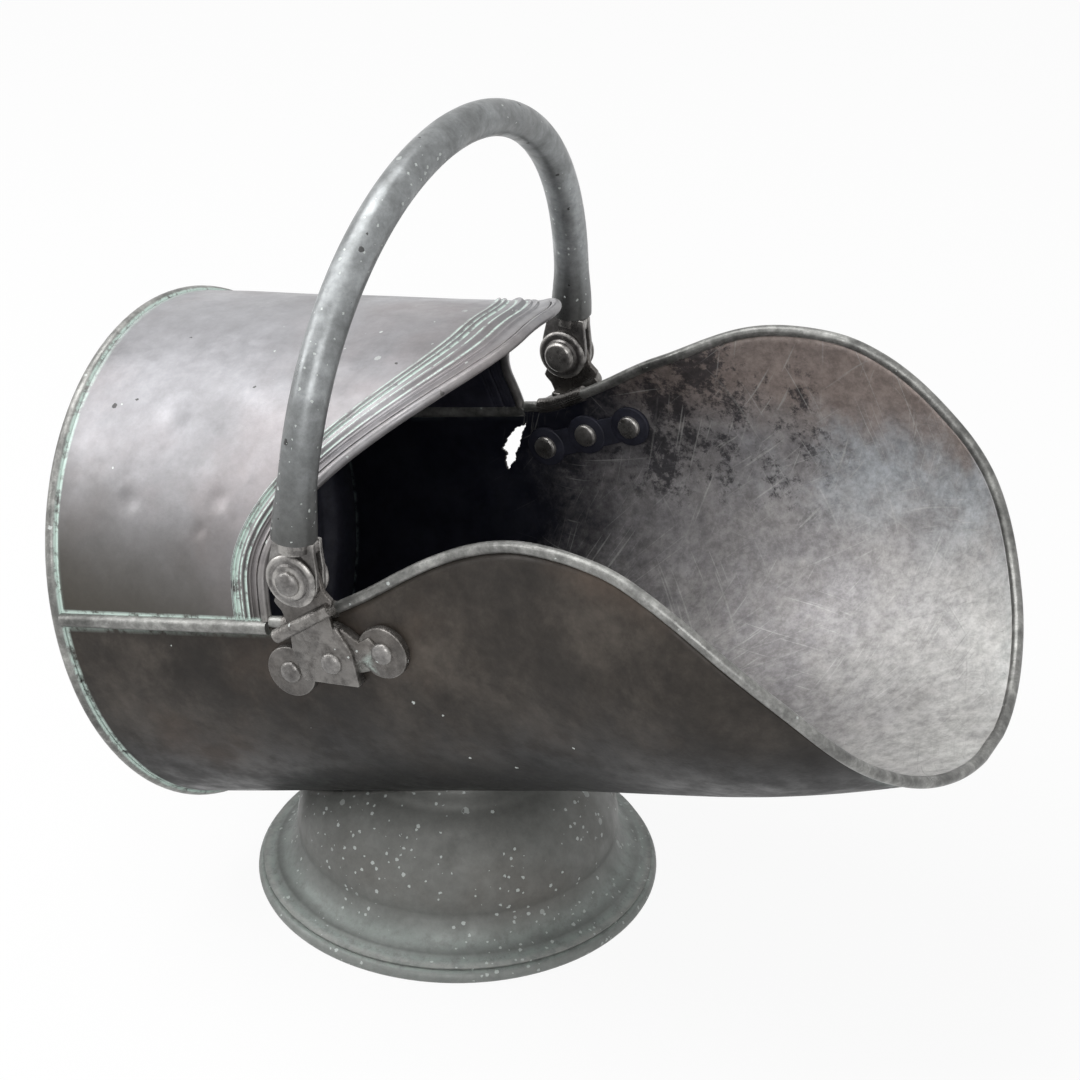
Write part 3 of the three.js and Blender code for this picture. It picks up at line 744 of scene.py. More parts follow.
@dataclass(frozen=True)
class Patina:
    """A patinated metal surface, from its dark hollows to its rubbed places."""

    name: str
    dark: Colour
    middle: Colour
    light: Colour
    metal: float = 0.5
    rough: float = 0.42
    cloud_size: float = 9.0
    cloud_edge: float = 0.16
    speck_colour: Colour = (0.60, 0.64, 0.62)
    speck_cover: float = 0.25
    speck_spacing: float = 260.0
    pits: float = 0.0
    pit_colour: Colour = (0.025, 0.023, 0.022)
    low_colour: Colour = (0.01, 0.01, 0.01)
    low_range: Pair = (0.0, 0.0)
    blush: Colour = (0.3, 0.24, 0.22)
    blush_share: float = 0.0
    verdigris: Colour = (0.60, 0.73, 0.67)
    verdigris_strength: float = 1.5
    bump: float = 0.12
    grain: float = 0.25
    grit: float = 0.35
    # darkening of the surfaces that face down: painted shade
    under: float = 0.0
    gloss: float = 0.5
    edge_wear: float = 0.0
    bare: Colour = (0.62, 0.60, 0.57)

    def clouds(self, tree: Tree, effects: Effects, vector: Socket) -> Socket:
        """The tarnish by itself, from dark to rubbed.

        Args:
            tree: The material's tree.
            effects: The shared groups.
            vector: Object coordinates.

        Returns:
            The colour.
        """
        broad_clouds = {"Vector": vector, "Size": self.cloud_size, "Edge": self.cloud_edge}
        fine_clouds = {"Vector": vector, "Size": self.cloud_size * 3.1, "Edge": self.cloud_edge * 0.8}
        broad = tree.use(effects.cloud, broad_clouds)
        fine = tree.use(effects.cloud, fine_clouds)
        colour = tree.blend(broad, self.dark, self.middle)
        return tree.blend(tree.times(fine, tree.spread(broad, 0.1, 0.9)), colour, self.light)

    def base_colour(self, tree: Tree, effects: Effects, vector: Socket) -> Socket:
        """The tarnish with its blush, the painted shade of the undersides, and a colour blended in by height
        towards the bottom.

        Args:
            tree: The material's tree.
            effects: The shared groups.
            vector: Object coordinates.

        Returns:
            The colour.
        """
        colour = self.clouds(tree, effects, vector)
        if self.blush_share:
            warm = tree.spread(tree.noise(vector, 7.0, 5.0, 0.6), 0.46, 0.66)
            colour = tree.blend(tree.times(warm, self.blush_share), colour, self.blush)
        # painted shade: the more a surface faces down, the nearer its colour comes to low_colour
        if self.under:
            facing_up = tree.height(tree.add("ShaderNodeTexCoord").outputs["Normal"])
            drift = tree.drift(vector, 12.0, 6.0, 0.6, 0.7)
            shade = tree.spread(tree.math("ADD", facing_up, drift), -0.10, -0.72)
            colour = tree.blend(tree.times(shade, self.under), colour, self.low_colour)
        # a colour blended in by height towards the bottom: painted shade with a browner tone on the hood,
        # painted light on the foot's cove and rim, a darker tone on the handle's lower legs
        low, high = self.low_range
        if high > low:
            drift = tree.drift(vector, 12.0, 5.0, 0.55, 0.4 * (high - low))
            shade = tree.spread(tree.math("ADD", tree.height(vector), drift), high, low)
            colour = tree.blend(shade, colour, self.low_colour)
        if self.pits:
            pitting = {"Vector": vector, "Spacing": 170.0, "Spot": 0.2, "Cover": self.pits}
            colour = tree.blend(tree.times(tree.use(effects.specks, pitting), 0.8), colour, self.pit_colour)
        return colour

    def grained(self, tree: Tree, colour: Socket, vector: Socket) -> Socket:
        """The colour with the fine light and dark grain of old metal.

        Args:
            tree: The material's tree.
            colour: The colour under the grain.
            vector: Object coordinates.

        Returns:
            The colour.
        """
        fine = tree.noise(vector, 160.0, 9.0, 0.78)
        grain = tree.spread(fine, 0.30, 0.70, 1 - self.grit, 1 + 0.6 * self.grit)
        grey = tree.add("ShaderNodeCombineColor", {0: grain, 1: grain, 2: grain}).outputs[0]
        return tree.blend(1.0, colour, grey, "MULTIPLY")

    def specks(self, tree: Tree, effects: Effects, vector: Socket) -> Socket:
        """Small pale specks between larger, fainter ones.

        Args:
            tree: The material's tree.
            effects: The shared groups.
            vector: Object coordinates.

        Returns:
            Their share of the surface.
        """
        spacing, cover = self.speck_spacing, self.speck_cover
        close = {"Vector": vector, "Spacing": spacing, "Cover": cover}
        wide = {"Vector": vector, "Spacing": spacing * 0.4, "Spot": 0.17, "Cover": cover * 0.45}
        small = tree.times(tree.use(effects.specks, close), 0.8)
        return tree.math("MAXIMUM", small, tree.times(tree.use(effects.specks, wide), 0.45))

    def green(self, tree: Tree, vector: Socket) -> Socket:
        """Verdigris in broken lines where the mesh marks a corner.

        Args:
            tree: The material's tree.
            vector: Object coordinates.

        Returns:
            Its share of the surface.
        """
        corner = tree.add("ShaderNodeAttribute", attribute_name="corner").outputs["Fac"]
        broken = tree.spread(tree.noise(vector, 150.0, 5.0, 0.75), 0.34, 0.56)
        return tree.math("MULTIPLY", tree.times(corner, broken), self.verdigris_strength, clamp=True)

    def build(self, effects: Effects) -> Material:
        """The finished material.

        Args:
            effects: The shared groups.

        Returns:
            The material.
        """
        material = bpy.data.materials.new(self.name)
        material.use_nodes = True
        tree = Tree(material.node_tree)
        shader = material.node_tree.nodes["Principled BSDF"]
        vector = tree.add("ShaderNodeTexCoord").outputs["Object"]
        specks = self.specks(tree, effects, vector)
        green = self.green(tree, vector)
        colour = self.grained(tree, self.base_colour(tree, effects, vector), vector)
        if self.edge_wear:
            rubbed = tree.use(effects.edges, {"Vector": vector})
            colour = tree.blend(tree.times(rubbed, self.edge_wear), colour, self.bare)
        colour = tree.blend(specks, colour, self.speck_colour)
        colour = tree.blend(green, colour, self.verdigris)
        clear = tree.math("SUBTRACT", 1.0, tree.math("MAXIMUM", green, specks))
        sheen = tree.noise(vector, 55.0, 6.0, 0.65)
        rough = tree.spread(sheen, 0.3, 0.7, self.rough - 0.09, self.rough + 0.13)
        relief = tree.use(effects.relief, {"Vector": vector, "Grain": self.grain})
        bump = tree.add("ShaderNodeBump", {"Strength": self.bump, "Distance": 0.002, "Height": relief})
        shader.inputs["Specular IOR Level"].default_value = self.gloss
        made = {
            "Base Color": colour,
            "Metallic": tree.times(clear, self.metal),
            "Roughness": rough,
            "Normal": bump.outputs[0],
        }
        for name, socket in made.items():
            material.node_tree.links.new(socket, shader.inputs[name])
        return material


@dataclass(frozen=True)
class ScoopLining(Patina):
    """The inside of the tub: soot and painted shade at the back under the hood; towards the lip, rubbed and
    scratched bright metal with painted light.
    """

    # near-black at the back of the lining: soot and the painted shade under the hood
    soot_and_shade: Colour = (0.012, 0.013, 0.022)
    # pale at the lip: rubbed bright metal with painted light
    lip: Colour = (0.60, 0.60, 0.575)
    brown: Colour = (0.36, 0.285, 0.25)
    bloom: Colour = (0.52, 0.56, 0.60)
    cool: Colour = (0.30, 0.292, 0.315)
    stain: Colour = (0.040, 0.038, 0.044)
    light_scratch: Colour = (0.60, 0.60, 0.58)
    dark_scratch: Colour = (0.16, 0.155, 0.15)
    soot_and_shade_ends: Pair = (0.115, 0.215)
    lip_starts: Pair = (0.27, 0.47)
    lip_below: Pair = (0.26, 0.15)
    wing_above: Pair = (0.225, 0.262)
    bloom_above: Pair = (0.185, 0.225)
    bloom_below: Pair = (0.268, 0.236)
    bloom_starts: Pair = (0.24, 0.30)
    soil_behind: Pair = (0.36, 0.20)
    soil_above: Pair = (0.16, 0.23)
    along: Vector = field(default_factory=lambda: Vector((1, 0, 0)))
    back: Vector = field(default_factory=lambda: Vector((0, 0, 0)))

    def base_colour(self, tree: Tree, effects: Effects, vector: Socket) -> Socket:
        """The lining's colour along the tub and up its wings.

        Args:
            tree: The material's tree.
            effects: The shared groups.
            vector: Object coordinates.

        Returns:
            The colour.
        """
        off = tree.vectors("SUBTRACT", vector, tuple(self.back)).outputs[0]
        u = tree.vectors("DOT_PRODUCT", off, tuple(self.along)).outputs["Value"]
        drift = tree.math("SUBTRACT", tree.noise(vector, 13.0, 8.0, 0.65), 0.5)
        height = tree.math("ADD", tree.height(vector), tree.times(drift, 0.05))
        place = tree.math("ADD", u, tree.times(drift, 0.13))
        # low front of the lining: rubbed bright and painted with light
        bright = tree.times(tree.spread(place, *self.lip_starts), tree.spread(height, *self.lip_below))
        colour = self.clouds(tree, effects, vector)
        cool = tree.spread(tree.noise(vector, 38.0, 8.0, 0.75), 0.42, 0.60)
        colour = tree.blend(tree.times(cool, 0.30), colour, self.cool)
        colour = tree.blend(tree.times(tree.spread(height, *self.wing_above), 0.75), colour, self.brown)
        cloudy = tree.spread(tree.noise(vector, 24.0, 8.0, 0.7), 0.36, 0.62)
        band = tree.times(tree.spread(height, *self.bloom_above), tree.spread(height, *self.bloom_below))
        bloom = tree.times(band, cloudy, tree.spread(place, *self.bloom_starts), 0.7)
        colour = tree.blend(bloom, colour, self.bloom)
        # lip colour: worn metal and painted light
        colour = tree.blend(tree.times(bright, tree.spread(cloudy, 0.0, 1.0, 0.65, 1.0)), colour, self.lip)
        colour = self.sooted_and_shaded(tree, colour, vector, place, height)
        return self.scratched(tree, effects, colour, place, bright)

    def sooted_and_shaded(self, tree: Tree, colour: Socket, vector: Socket, place: Socket, height: Socket) -> Socket:
        """The colour under ragged stains, and under the soot and painted shade at the back.

        Args:
            tree: The material's tree.
            colour: The colour of the metal.
            vector: Object coordinates.
            place: Distance along the tub.
            height: Height in the frame.

        Returns:
            The colour.
        """
        soiled = tree.times(tree.spread(place, *self.soil_behind), tree.spread(height, *self.soil_above))
        broad = tree.times(tree.noise(vector, 42.0, 6.0, 0.7), 0.5)
        ragged = tree.math("ADD", broad, tree.times(tree.noise(vector, 210.0, 8.0, 0.8), 0.5))
        ragged = tree.math("ADD", ragged, tree.times(soiled, 0.075))
        stained = tree.times(tree.spread(ragged, 0.53, 0.61), tree.spread(soiled, 0.02, 0.4))
        colour = tree.blend(tree.times(stained, 0.85), colour, self.stain)
        # soot and painted shade of the hood, reaching forward from the back
        soot_and_shade_place = tree.math("ADD", place, tree.drift(vector, 170.0, 8.0, 0.8, 0.09))
        soot_and_shade_place = tree.math("SUBTRACT", soot_and_shade_place, tree.times(tree.spread(height, 0.18, 0.225), 0.042))
        return tree.blend(tree.spread(soot_and_shade_place, *self.soot_and_shade_ends), self.soot_and_shade, colour)

    def scratched(
        self, tree: Tree, effects: Effects, colour: Socket, place: Socket, bright: Socket
    ) -> Socket:
        """The colour with light scratches, and dark ones on the bright lip.

        Args:
            tree: The material's tree.
            effects: The shared groups.
            colour: The colour under the scratches.
            place: Distance along the tub.
            bright: How far the metal is rubbed bright and painted with light.

        Returns:
            The colour.
        """
        wall = tree.add("ShaderNodeUVMap", uv_map="wall").outputs[0]
        light = tree.times(tree.use(effects.scratches, {"Vector": wall}), tree.spread(place, 0.10, 0.17), 0.5)
        colour = tree.blend(light, colour, self.light_scratch)
        dark = tree.use(effects.scratches, {"Vector": wall, "Fineness": 410.0})
        return tree.blend(tree.times(dark, bright, 0.55), colour, self.dark_scratch)


@dataclass(frozen=True)
class Finishes:
    """Every finish of the scuttle, built once."""

    pan: Material
    hood: Material
    soot_and_shade: Material
    lining: Material
    foot: Material
    handle: Material
    beading: Material
    iron: Material
    rosette: Material


def make_finishes(form: TubForm) -> Finishes:
    """Builds the scuttle's finishes.

    Args:
        form: The tub's form, which the lining's colours follow.

    Returns:
        The finishes.
    """
    chosen = {
        "pan": Patina(
            "brown pan patina", (0.020, 0.017, 0.015), (0.050, 0.043, 0.037), (0.098, 0.084, 0.071),
            metal=0.22, rough=0.43, gloss=0.24, cloud_size=6.0, grit=0.15, speck_cover=0.012,
            # near-black underside of the pan: painted shade
            low_colour=(0.006, 0.0055, 0.006), under=0.97, blush=(0.10, 0.072, 0.055), blush_share=0.6,
        ),
        "hood": Patina(
            "lilac hood patina", (0.16, 0.157, 0.16), (0.31, 0.307, 0.322), (0.45, 0.45, 0.475),
            metal=0.6, rough=0.37, cloud_size=4.0, cloud_edge=0.26, grit=0.08, speck_cover=0.05, pits=0.035,
            # darker, browner lower hood: painted shade with a browner tone
            low_colour=(0.066, 0.060, 0.050), low_range=(0.185, 0.285),
            blush=(0.33, 0.272, 0.268), blush_share=0.28, edge_wear=0.25,
        ),
        # near-black inside the hood: soot and painted shade
        "soot_and_shade": Patina(
            "soot inside the hood", (0.009, 0.010, 0.018), (0.018, 0.019, 0.033), (0.040, 0.041, 0.060),
            metal=0.2, rough=0.6, speck_cover=0.0, verdigris_strength=0.0,
        ),
        "lining": ScoopLining(
            "scoop lining", (0.235, 0.222, 0.226), (0.365, 0.348, 0.350), (0.48, 0.465, 0.455),
            metal=0.3, rough=0.44, cloud_size=11.0, cloud_edge=0.24, grit=0.36, speck_cover=0.0,
            verdigris=(0.36, 0.45, 0.45), verdigris_strength=0.6, along=form.along, back=form.back,
        ),
        "foot": Patina(
            "grey-green foot patina", (0.105, 0.105, 0.098), (0.18, 0.183, 0.172), (0.27, 0.28, 0.265),
            metal=0.22, rough=0.50, cloud_size=5.0, cloud_edge=0.3, grit=0.15, speck_cover=1.0,
            # painted light: the foot's low cove and rim are lighter than the dome above
            speck_spacing=250.0, low_colour=(0.235, 0.25, 0.238), low_range=(0.010, 0.036),
            blush=(0.13, 0.115, 0.10), blush_share=0.5, verdigris_strength=0.6, edge_wear=0.2,
        ),
        "handle": Patina(
            "pewter handle patina", (0.13, 0.136, 0.136), (0.27, 0.282, 0.285), (0.46, 0.48, 0.49),
            metal=0.65, rough=0.36, cloud_edge=0.19, grit=0.2, speck_cover=0.4, speck_spacing=330.0,
            low_colour=(0.105, 0.107, 0.104), low_range=(0.27, 0.33), bump=0.10, pits=0.18,
        ),
        "beading": Patina(
            "worn beading", (0.10, 0.10, 0.095), (0.24, 0.24, 0.23), (0.42, 0.42, 0.40),
            metal=0.6, rough=0.36, cloud_size=28.0, speck_cover=0.2, bump=0.25, grit=0.3,
        ),
        "iron": Patina(
            "dark wrought iron", (0.050, 0.046, 0.043), (0.098, 0.092, 0.087), (0.19, 0.18, 0.172),
            metal=0.72, rough=0.29, gloss=0.6, cloud_size=26.0, cloud_edge=0.22, grit=0.3, speck_cover=0.1,
            blush=(0.15, 0.105, 0.065), blush_share=0.18, bump=0.45, grain=0.5, edge_wear=0.25,
        ),
        "rosette": Patina(
            "rubbed rosettes", (0.085, 0.080, 0.077), (0.18, 0.172, 0.166), (0.34, 0.33, 0.32),
            metal=0.72, rough=0.29, gloss=0.6, cloud_size=40.0, grit=0.3, speck_cover=0.15, bump=0.35,
            edge_wear=0.5,
        ),
    }
    effects = Effects()
    return Finishes(**{key: finish.build(effects) for key, finish in chosen.items()})


@dataclass
class Pan:
    """The trough from the seams down, running on as the scoop, with its rolled rim."""

    form: TubForm
    finishes: Finishes
    wire_radius: float = 0.0027
    roll_radius: float = 0.0030
    wire_start: float = 0.012
    unevenness: float = 0.0006
    straight: float = 0.22
    tear: Outline = (
        (0.1285, 0.0100), (0.1235, 0.0030), (0.1205, -0.0045), (0.1165, -0.0080), (0.1160, -0.0125),
        (0.1100, -0.0180), (0.1085, -0.0130), (0.1110, -0.0085), (0.1085, -0.0055), (0.1120, 0.0000),
        (0.1165, 0.0035), (0.1215, 0.0080),
    )  # fmt: skip
    tear_reach: float = 0.02
    tear_shake: float = 0.0010

    def torn(self, point: Vector) -> bool:
        """Whether a point lies in the ragged tear beside the far bracket.

        Args:
            point: A point of the frame.

        Returns:
            True within the tear.
        """
        at = self.form.local(point)
        if at.y < 0:
            return False
        x = at.x + self.tear_shake * noise.noise(point * 500)
        z = at.z + self.tear_shake * noise.noise(point * 490 + Vector((5, 5, 5)))
        inside = False
        for (ax, az), (bx, bz) in zip(self.tear, self.tear[1:] + self.tear[:1]):
            if (az > z) != (bz > z) and x < ax + (z - az) / (bz - az) * (bx - ax):
                inside = not inside
        return inside

    def cut_tear(self, sheet: BMesh) -> None:
        """Opens the tear in a finer patch of the sheet.

        Args:
            sheet: The pan's sheet.
        """
        (left, low), (right, high) = (tuple(map(end, zip(*self.tear))) for end in (min, max))
        turn = (low + high) / 2 / self.form.radius
        middle = self.form.in_frame(self.form.on_wall((left + right) / 2, turn))
        patch = {
            edge
            for face in sheet.faces
            if (face.calc_center_median() - middle).length < self.tear_reach
            for edge in face.edges
        }
        bmesh.ops.subdivide_edges(sheet, edges=list(patch), cuts=3, use_grid_fill=True)
        gone = [face for face in sheet.faces if self.torn(face.calc_center_median())]
        bmesh.ops.delete(sheet, geom=gone, context="FACES")

    def surface(self, s: float, t: float) -> Vector:
        """The pan's outer face at a share s of its length and t from the far rim to the near one.

        Args:
            s: Share of the length.
            t: Share of the way round.

        Returns:
            The point of the frame.
        """
        if s < self.straight:
            u, angle = s / self.straight * self.form.rim_knots[0].x, self.form.seam_angle
        else:
            u, angle = self.form.rim_at((s - self.straight) / (1 - self.straight))
        turn = angle - t * (HALF_TURN + 2 * angle)
        wave = noise.noise(Vector((u * 16, turn * 2.2, 3.7))) * self.unevenness * math.sin(HALF_TURN * t)
        return self.form.in_frame(self.form.on_wall(u, turn, wave))

    def corner(self, point: Vector) -> float:
        """How strongly verdigris sits at a point: along the seams and the back edge.

        Args:
            point: A point of the frame.

        Returns:
            Its strength.
        """
        at = self.form.local(point)
        seam = self.form.roof(max(at.x, 0.0)) * math.sin(self.form.seam_angle)
        seamed = at.x < self.form.hood_side + 0.006
        by_seam = bump_at(at.z - seam + 0.0040, 0.0012) if seamed else 0.0
        inside_lip = 0.8 * bump_at(at.x - self.form.length, 0.02) * smoothstep(at.z, -0.12, -0.05)
        return max(by_seam, bump_at(at.x - 0.0012, 0.0016), inside_lip)

    def make(self) -> None:
        """Builds the sheet and its rim."""
        sheet = sheet_grid(308, 144, self.surface)
        axis_high = self.form.in_frame(Vector((0.2, 0, 0.02)))
        facing(sheet, lambda point: point - axis_high)
        paint(sheet, "corner", self.corner)
        self.cut_tear(sheet)
        Piece("pan_sheet", Body.TUB, "patinated_body", ["body_pan"]).make(
            sheet, (self.finishes.pan, self.finishes.lining), self.form.sheet
        )
        shares = [mix(self.wire_start, 1.0, i / 150) for i in range(151)]
        off = self.wire_radius + EDGE_GAP
        far = [self.form.in_frame(self.form.rim_wire(share, 1, off)) for share in shares]
        near = [self.form.in_frame(self.form.rim_wire(share, -1, off)) for share in reversed(shares)]
        gap = 1e-4
        line = far + [point for point in near if (point - far[-1]).length > gap]
        Piece("scoop_rim_roll", Body.TUB, "beading", ["scoop_rim_wire"]).make(
            tube(line, self.roll_radius, 18), (self.finishes.beading,)
        )


@dataclass
class Hood:
    """The half-round cover of the back, with its beaded front band and wired edge."""

    form: TubForm
    finishes: Finishes
    band_crown: float = 0.033
    band_side: float = 0.015
    bead_height: float = 0.0015
    beads: Sequence[tuple[float, float, float]] = (
        (0.05, 0.05, 0.8),
        (0.16, 0.05, 0.7),
        (0.46, 0.10, 1.1),
        (0.64, 0.04, 0.6),
        (0.76, 0.04, 0.6),
    )
    verdigris_lines: tuple[float, ...] = (0.0, 0.105, 0.21, 0.36, 0.57)
    lip_flare: float = 0.0010
    wire_radius: float = 0.0027
    seam_bead_radius: float = 0.0036
    seam_bead_past: float = 0.004
    unevenness: float = 0.0007
    plain_share: float = 0.45
    knocks: Sequence[tuple[float, float, float, float]] = (
        (0.100, 0.62, 0.009, -0.0012),
        (0.112, 0.54, 0.006, -0.0010),
        (0.090, 0.50, 0.006, -0.0008),
        (0.118, 0.72, 0.007, 0.0006),
        (0.060, 0.95, 0.013, -0.0008),
        (0.150, 1.15, 0.016, -0.0009),
        (0.045, 0.60, 0.010, -0.0007),
    )

    def band_start(self, angle: float) -> float:
        """u where the moulded band begins."""
        share = smoothstep(abs(angle - QUARTER_TURN), *self.form.sweep)
        return self.form.hood_edge(angle) - mix(self.band_crown, self.band_side, share)

    def rise(self, share: float) -> float:
        """Height of the moulded band at a share of its width."""
        beads = sum(height * bump_at(share - at, half) for at, half, height in self.beads)
        return self.bead_height * beads + self.lip_flare * smoothstep(share, 0.78, 1.0)

    def dents(self, u: float, angle: float) -> float:
        """Depth of the small knocks and the broad waves in the sheet.

        Args:
            u: Place along the axis.
            angle: Turn above the widest line on the far side.

        Returns:
            The distance outwards.
        """
        wave = noise.noise(Vector((u * 22, angle * 2.6, 9.1))) * self.unevenness
        knocks = sum(
            depth * bump_at(math.hypot(u - at_u, (angle - HALF_TURN + under) * self.form.radius), reach)
            for at_u, under, reach, depth in self.knocks
        )
        return wave + knocks

    def surface(self, s: float, t: float) -> Vector:
        """The hood's outer face at a share s of its length and t from the far seam to the near one.

        Args:
            s: Share of the length.
            t: Share of the way over.

        Returns:
            The point of the frame.
        """
        angle = mix(self.form.seam_angle, HALF_TURN - self.form.seam_angle, t)
        start = self.band_start(angle)
        if s < self.plain_share:
            u = s / self.plain_share * start
            grow = self.dents(u, angle) * math.sin(HALF_TURN * s / self.plain_share)
        else:
            share = (s - self.plain_share) / (1 - self.plain_share)
            u = mix(start, self.form.hood_edge(angle), share)
            low = bump_at(min(angle, HALF_TURN - angle) - self.form.seam_angle, 0.03)
            grow = self.rise(share) * (1 - low)
        return self.form.in_frame(self.form.on_wall(u, angle, grow, True))

    def corner(self, point: Vector) -> float:
        """How strongly verdigris sits at a point: beside the beads, the seams and the back edge.

        Args:
            point: A point of the frame.

        Returns:
            Its strength.
        """
        at = self.form.local(point)
        angle = math.atan2(at.z / self.form.roof(at.x), at.y / self.form.half_width(at.x))
        start = self.band_start(angle)
        width = self.form.hood_edge(angle) - start
        share = (at.x - start) / width
        beside = max(bump_at((share - place) * width, 0.0011) for place in self.verdigris_lines)
        seam = self.form.roof(at.x) * math.sin(self.form.seam_angle)
        by_seam = bump_at(at.z - seam - 0.0040, 0.0013)
        return max(beside, by_seam, bump_at(at.x - 0.0010, 0.0015))

    def make(self) -> None:
        """Builds the cover, its front wire and the two seam beads."""
        sheet = sheet_grid(220, 205, self.surface)
        middle = self.form.in_frame(Vector((0.1, 0, 0)))
        facing(sheet, lambda point: point - middle)
        paint(sheet, "corner", self.corner)
        # the inner face takes the near-black soot and painted shade
        Piece("hood_cover", Body.TUB, "patinated_hood", ["hood"]).make(
            sheet, (self.finishes.hood, self.finishes.soot_and_shade), self.form.sheet
        )
        start = self.form.seam_angle + math.radians(1.5)

        def edge(turn: float) -> tuple[float, float]:
            """u and angle of the hood's front edge, from the near side over the top."""
            return self.form.hood_edge(HALF_TURN - turn), HALF_TURN - turn

        off = self.wire_radius + EDGE_GAP
        turns = [mix(start, HALF_TURN - start, i / 120) for i in range(121)]
        line = [self.form.in_frame(self.form.beside_edge(edge, turn, off, True)) for turn in turns]
        Piece("hood_front_roll", Body.TUB, "beading", ["hood_front_wire"]).make(
            tube(line, self.wire_radius, 16), (self.finishes.hood,)
        )
        for side in Side:
            self.seam_bead(side)

    def seam_bead(self, side: Side) -> None:
        """The half-round bead soldered over one seam.

        Args:
            side: The seam's side.
        """
        ends = []
        for u in (0.0, self.form.hood_side + self.seam_bead_past):
            at = self.form.on_wall(u, self.form.seam_angle, 0.0, True)
            ends.append(self.form.point(at.x, at.y * side.value, at.z))
        line = [ends[0].lerp(ends[1], i / 24) for i in range(25)]
        bead = tube(line, self.seam_bead_radius, 20)
        paint(bead, "corner", lambda point: 0.0)
        Piece(f"seam_bead_round_{side.word}", Body.TUB, "beading", [f"seam_bead_{side.word}"]).make(
            bead, (self.finishes.beading,)
        )


@dataclass
class BackEnd:
    """The spun plate that closes the tub, and the bead round it."""

    form: TubForm
    finishes: Finishes
    flange: float = 0.018
    step: float = 0.005
    dome: float = 0.009
    seat: float = 0.0003
    bead_radius: float = 0.0034

    def make(self) -> None:
        """Builds the plate and its bead."""
        edge = self.form.radius - self.form.sheet - self.seat
        inner = edge - self.flange
        crown = self.step + self.dome
        top = Vector((0, crown))
        shoulder = Vector((inner - 2 * self.step, self.step))
        ring = Vector((inner, 0))
        pulls = Vector((inner * 0.4, crown)), Vector((inner * 0.7, crown * 0.8))
        profile = [top, *bezier(top, *pulls, shoulder, 14)]
        profile += bezier(shoulder, shoulder + Vector((0.003, 0.0006)), ring + Vector((-0.003, 0)), ring, 8)
        profile.append(Vector((edge, 0)))
        axis = -self.form.along
        plate = turned(profile, self.form.back, axis, Vector((0, 1, 0)), 96)
        facing(plate, lambda point: axis)
        paint(plate, "corner", lambda point: bump_at((point - self.form.back).length - edge, 0.004))
        # the inner face takes the near-black soot and painted shade
        Piece("back_plate_spun", Body.TUB, "patinated_body", ["back_plate"]).make(
            plate, (self.finishes.pan, self.finishes.soot_and_shade), self.form.sheet
        )
        centre = self.form.back + axis * (self.bead_radius - 0.0006)
        middle = self.form.radius - self.form.sheet / 2
        line = [
            centre + (Vector((0, math.cos(turn), 0)) + self.form.up * math.sin(turn)) * middle
            for turn in (FULL_TURN * i / 120 for i in range(120))
        ]
        bead = tube(line, self.bead_radius, 16, closed=True)
        paint(bead, "corner", lambda point: bump_at((point - centre).dot(self.form.along) - 0.0031, 0.0008))
        Piece("back_bead", Body.TUB, "beading", ["back_rim_bead"]).make(bead, (self.finishes.beading,))


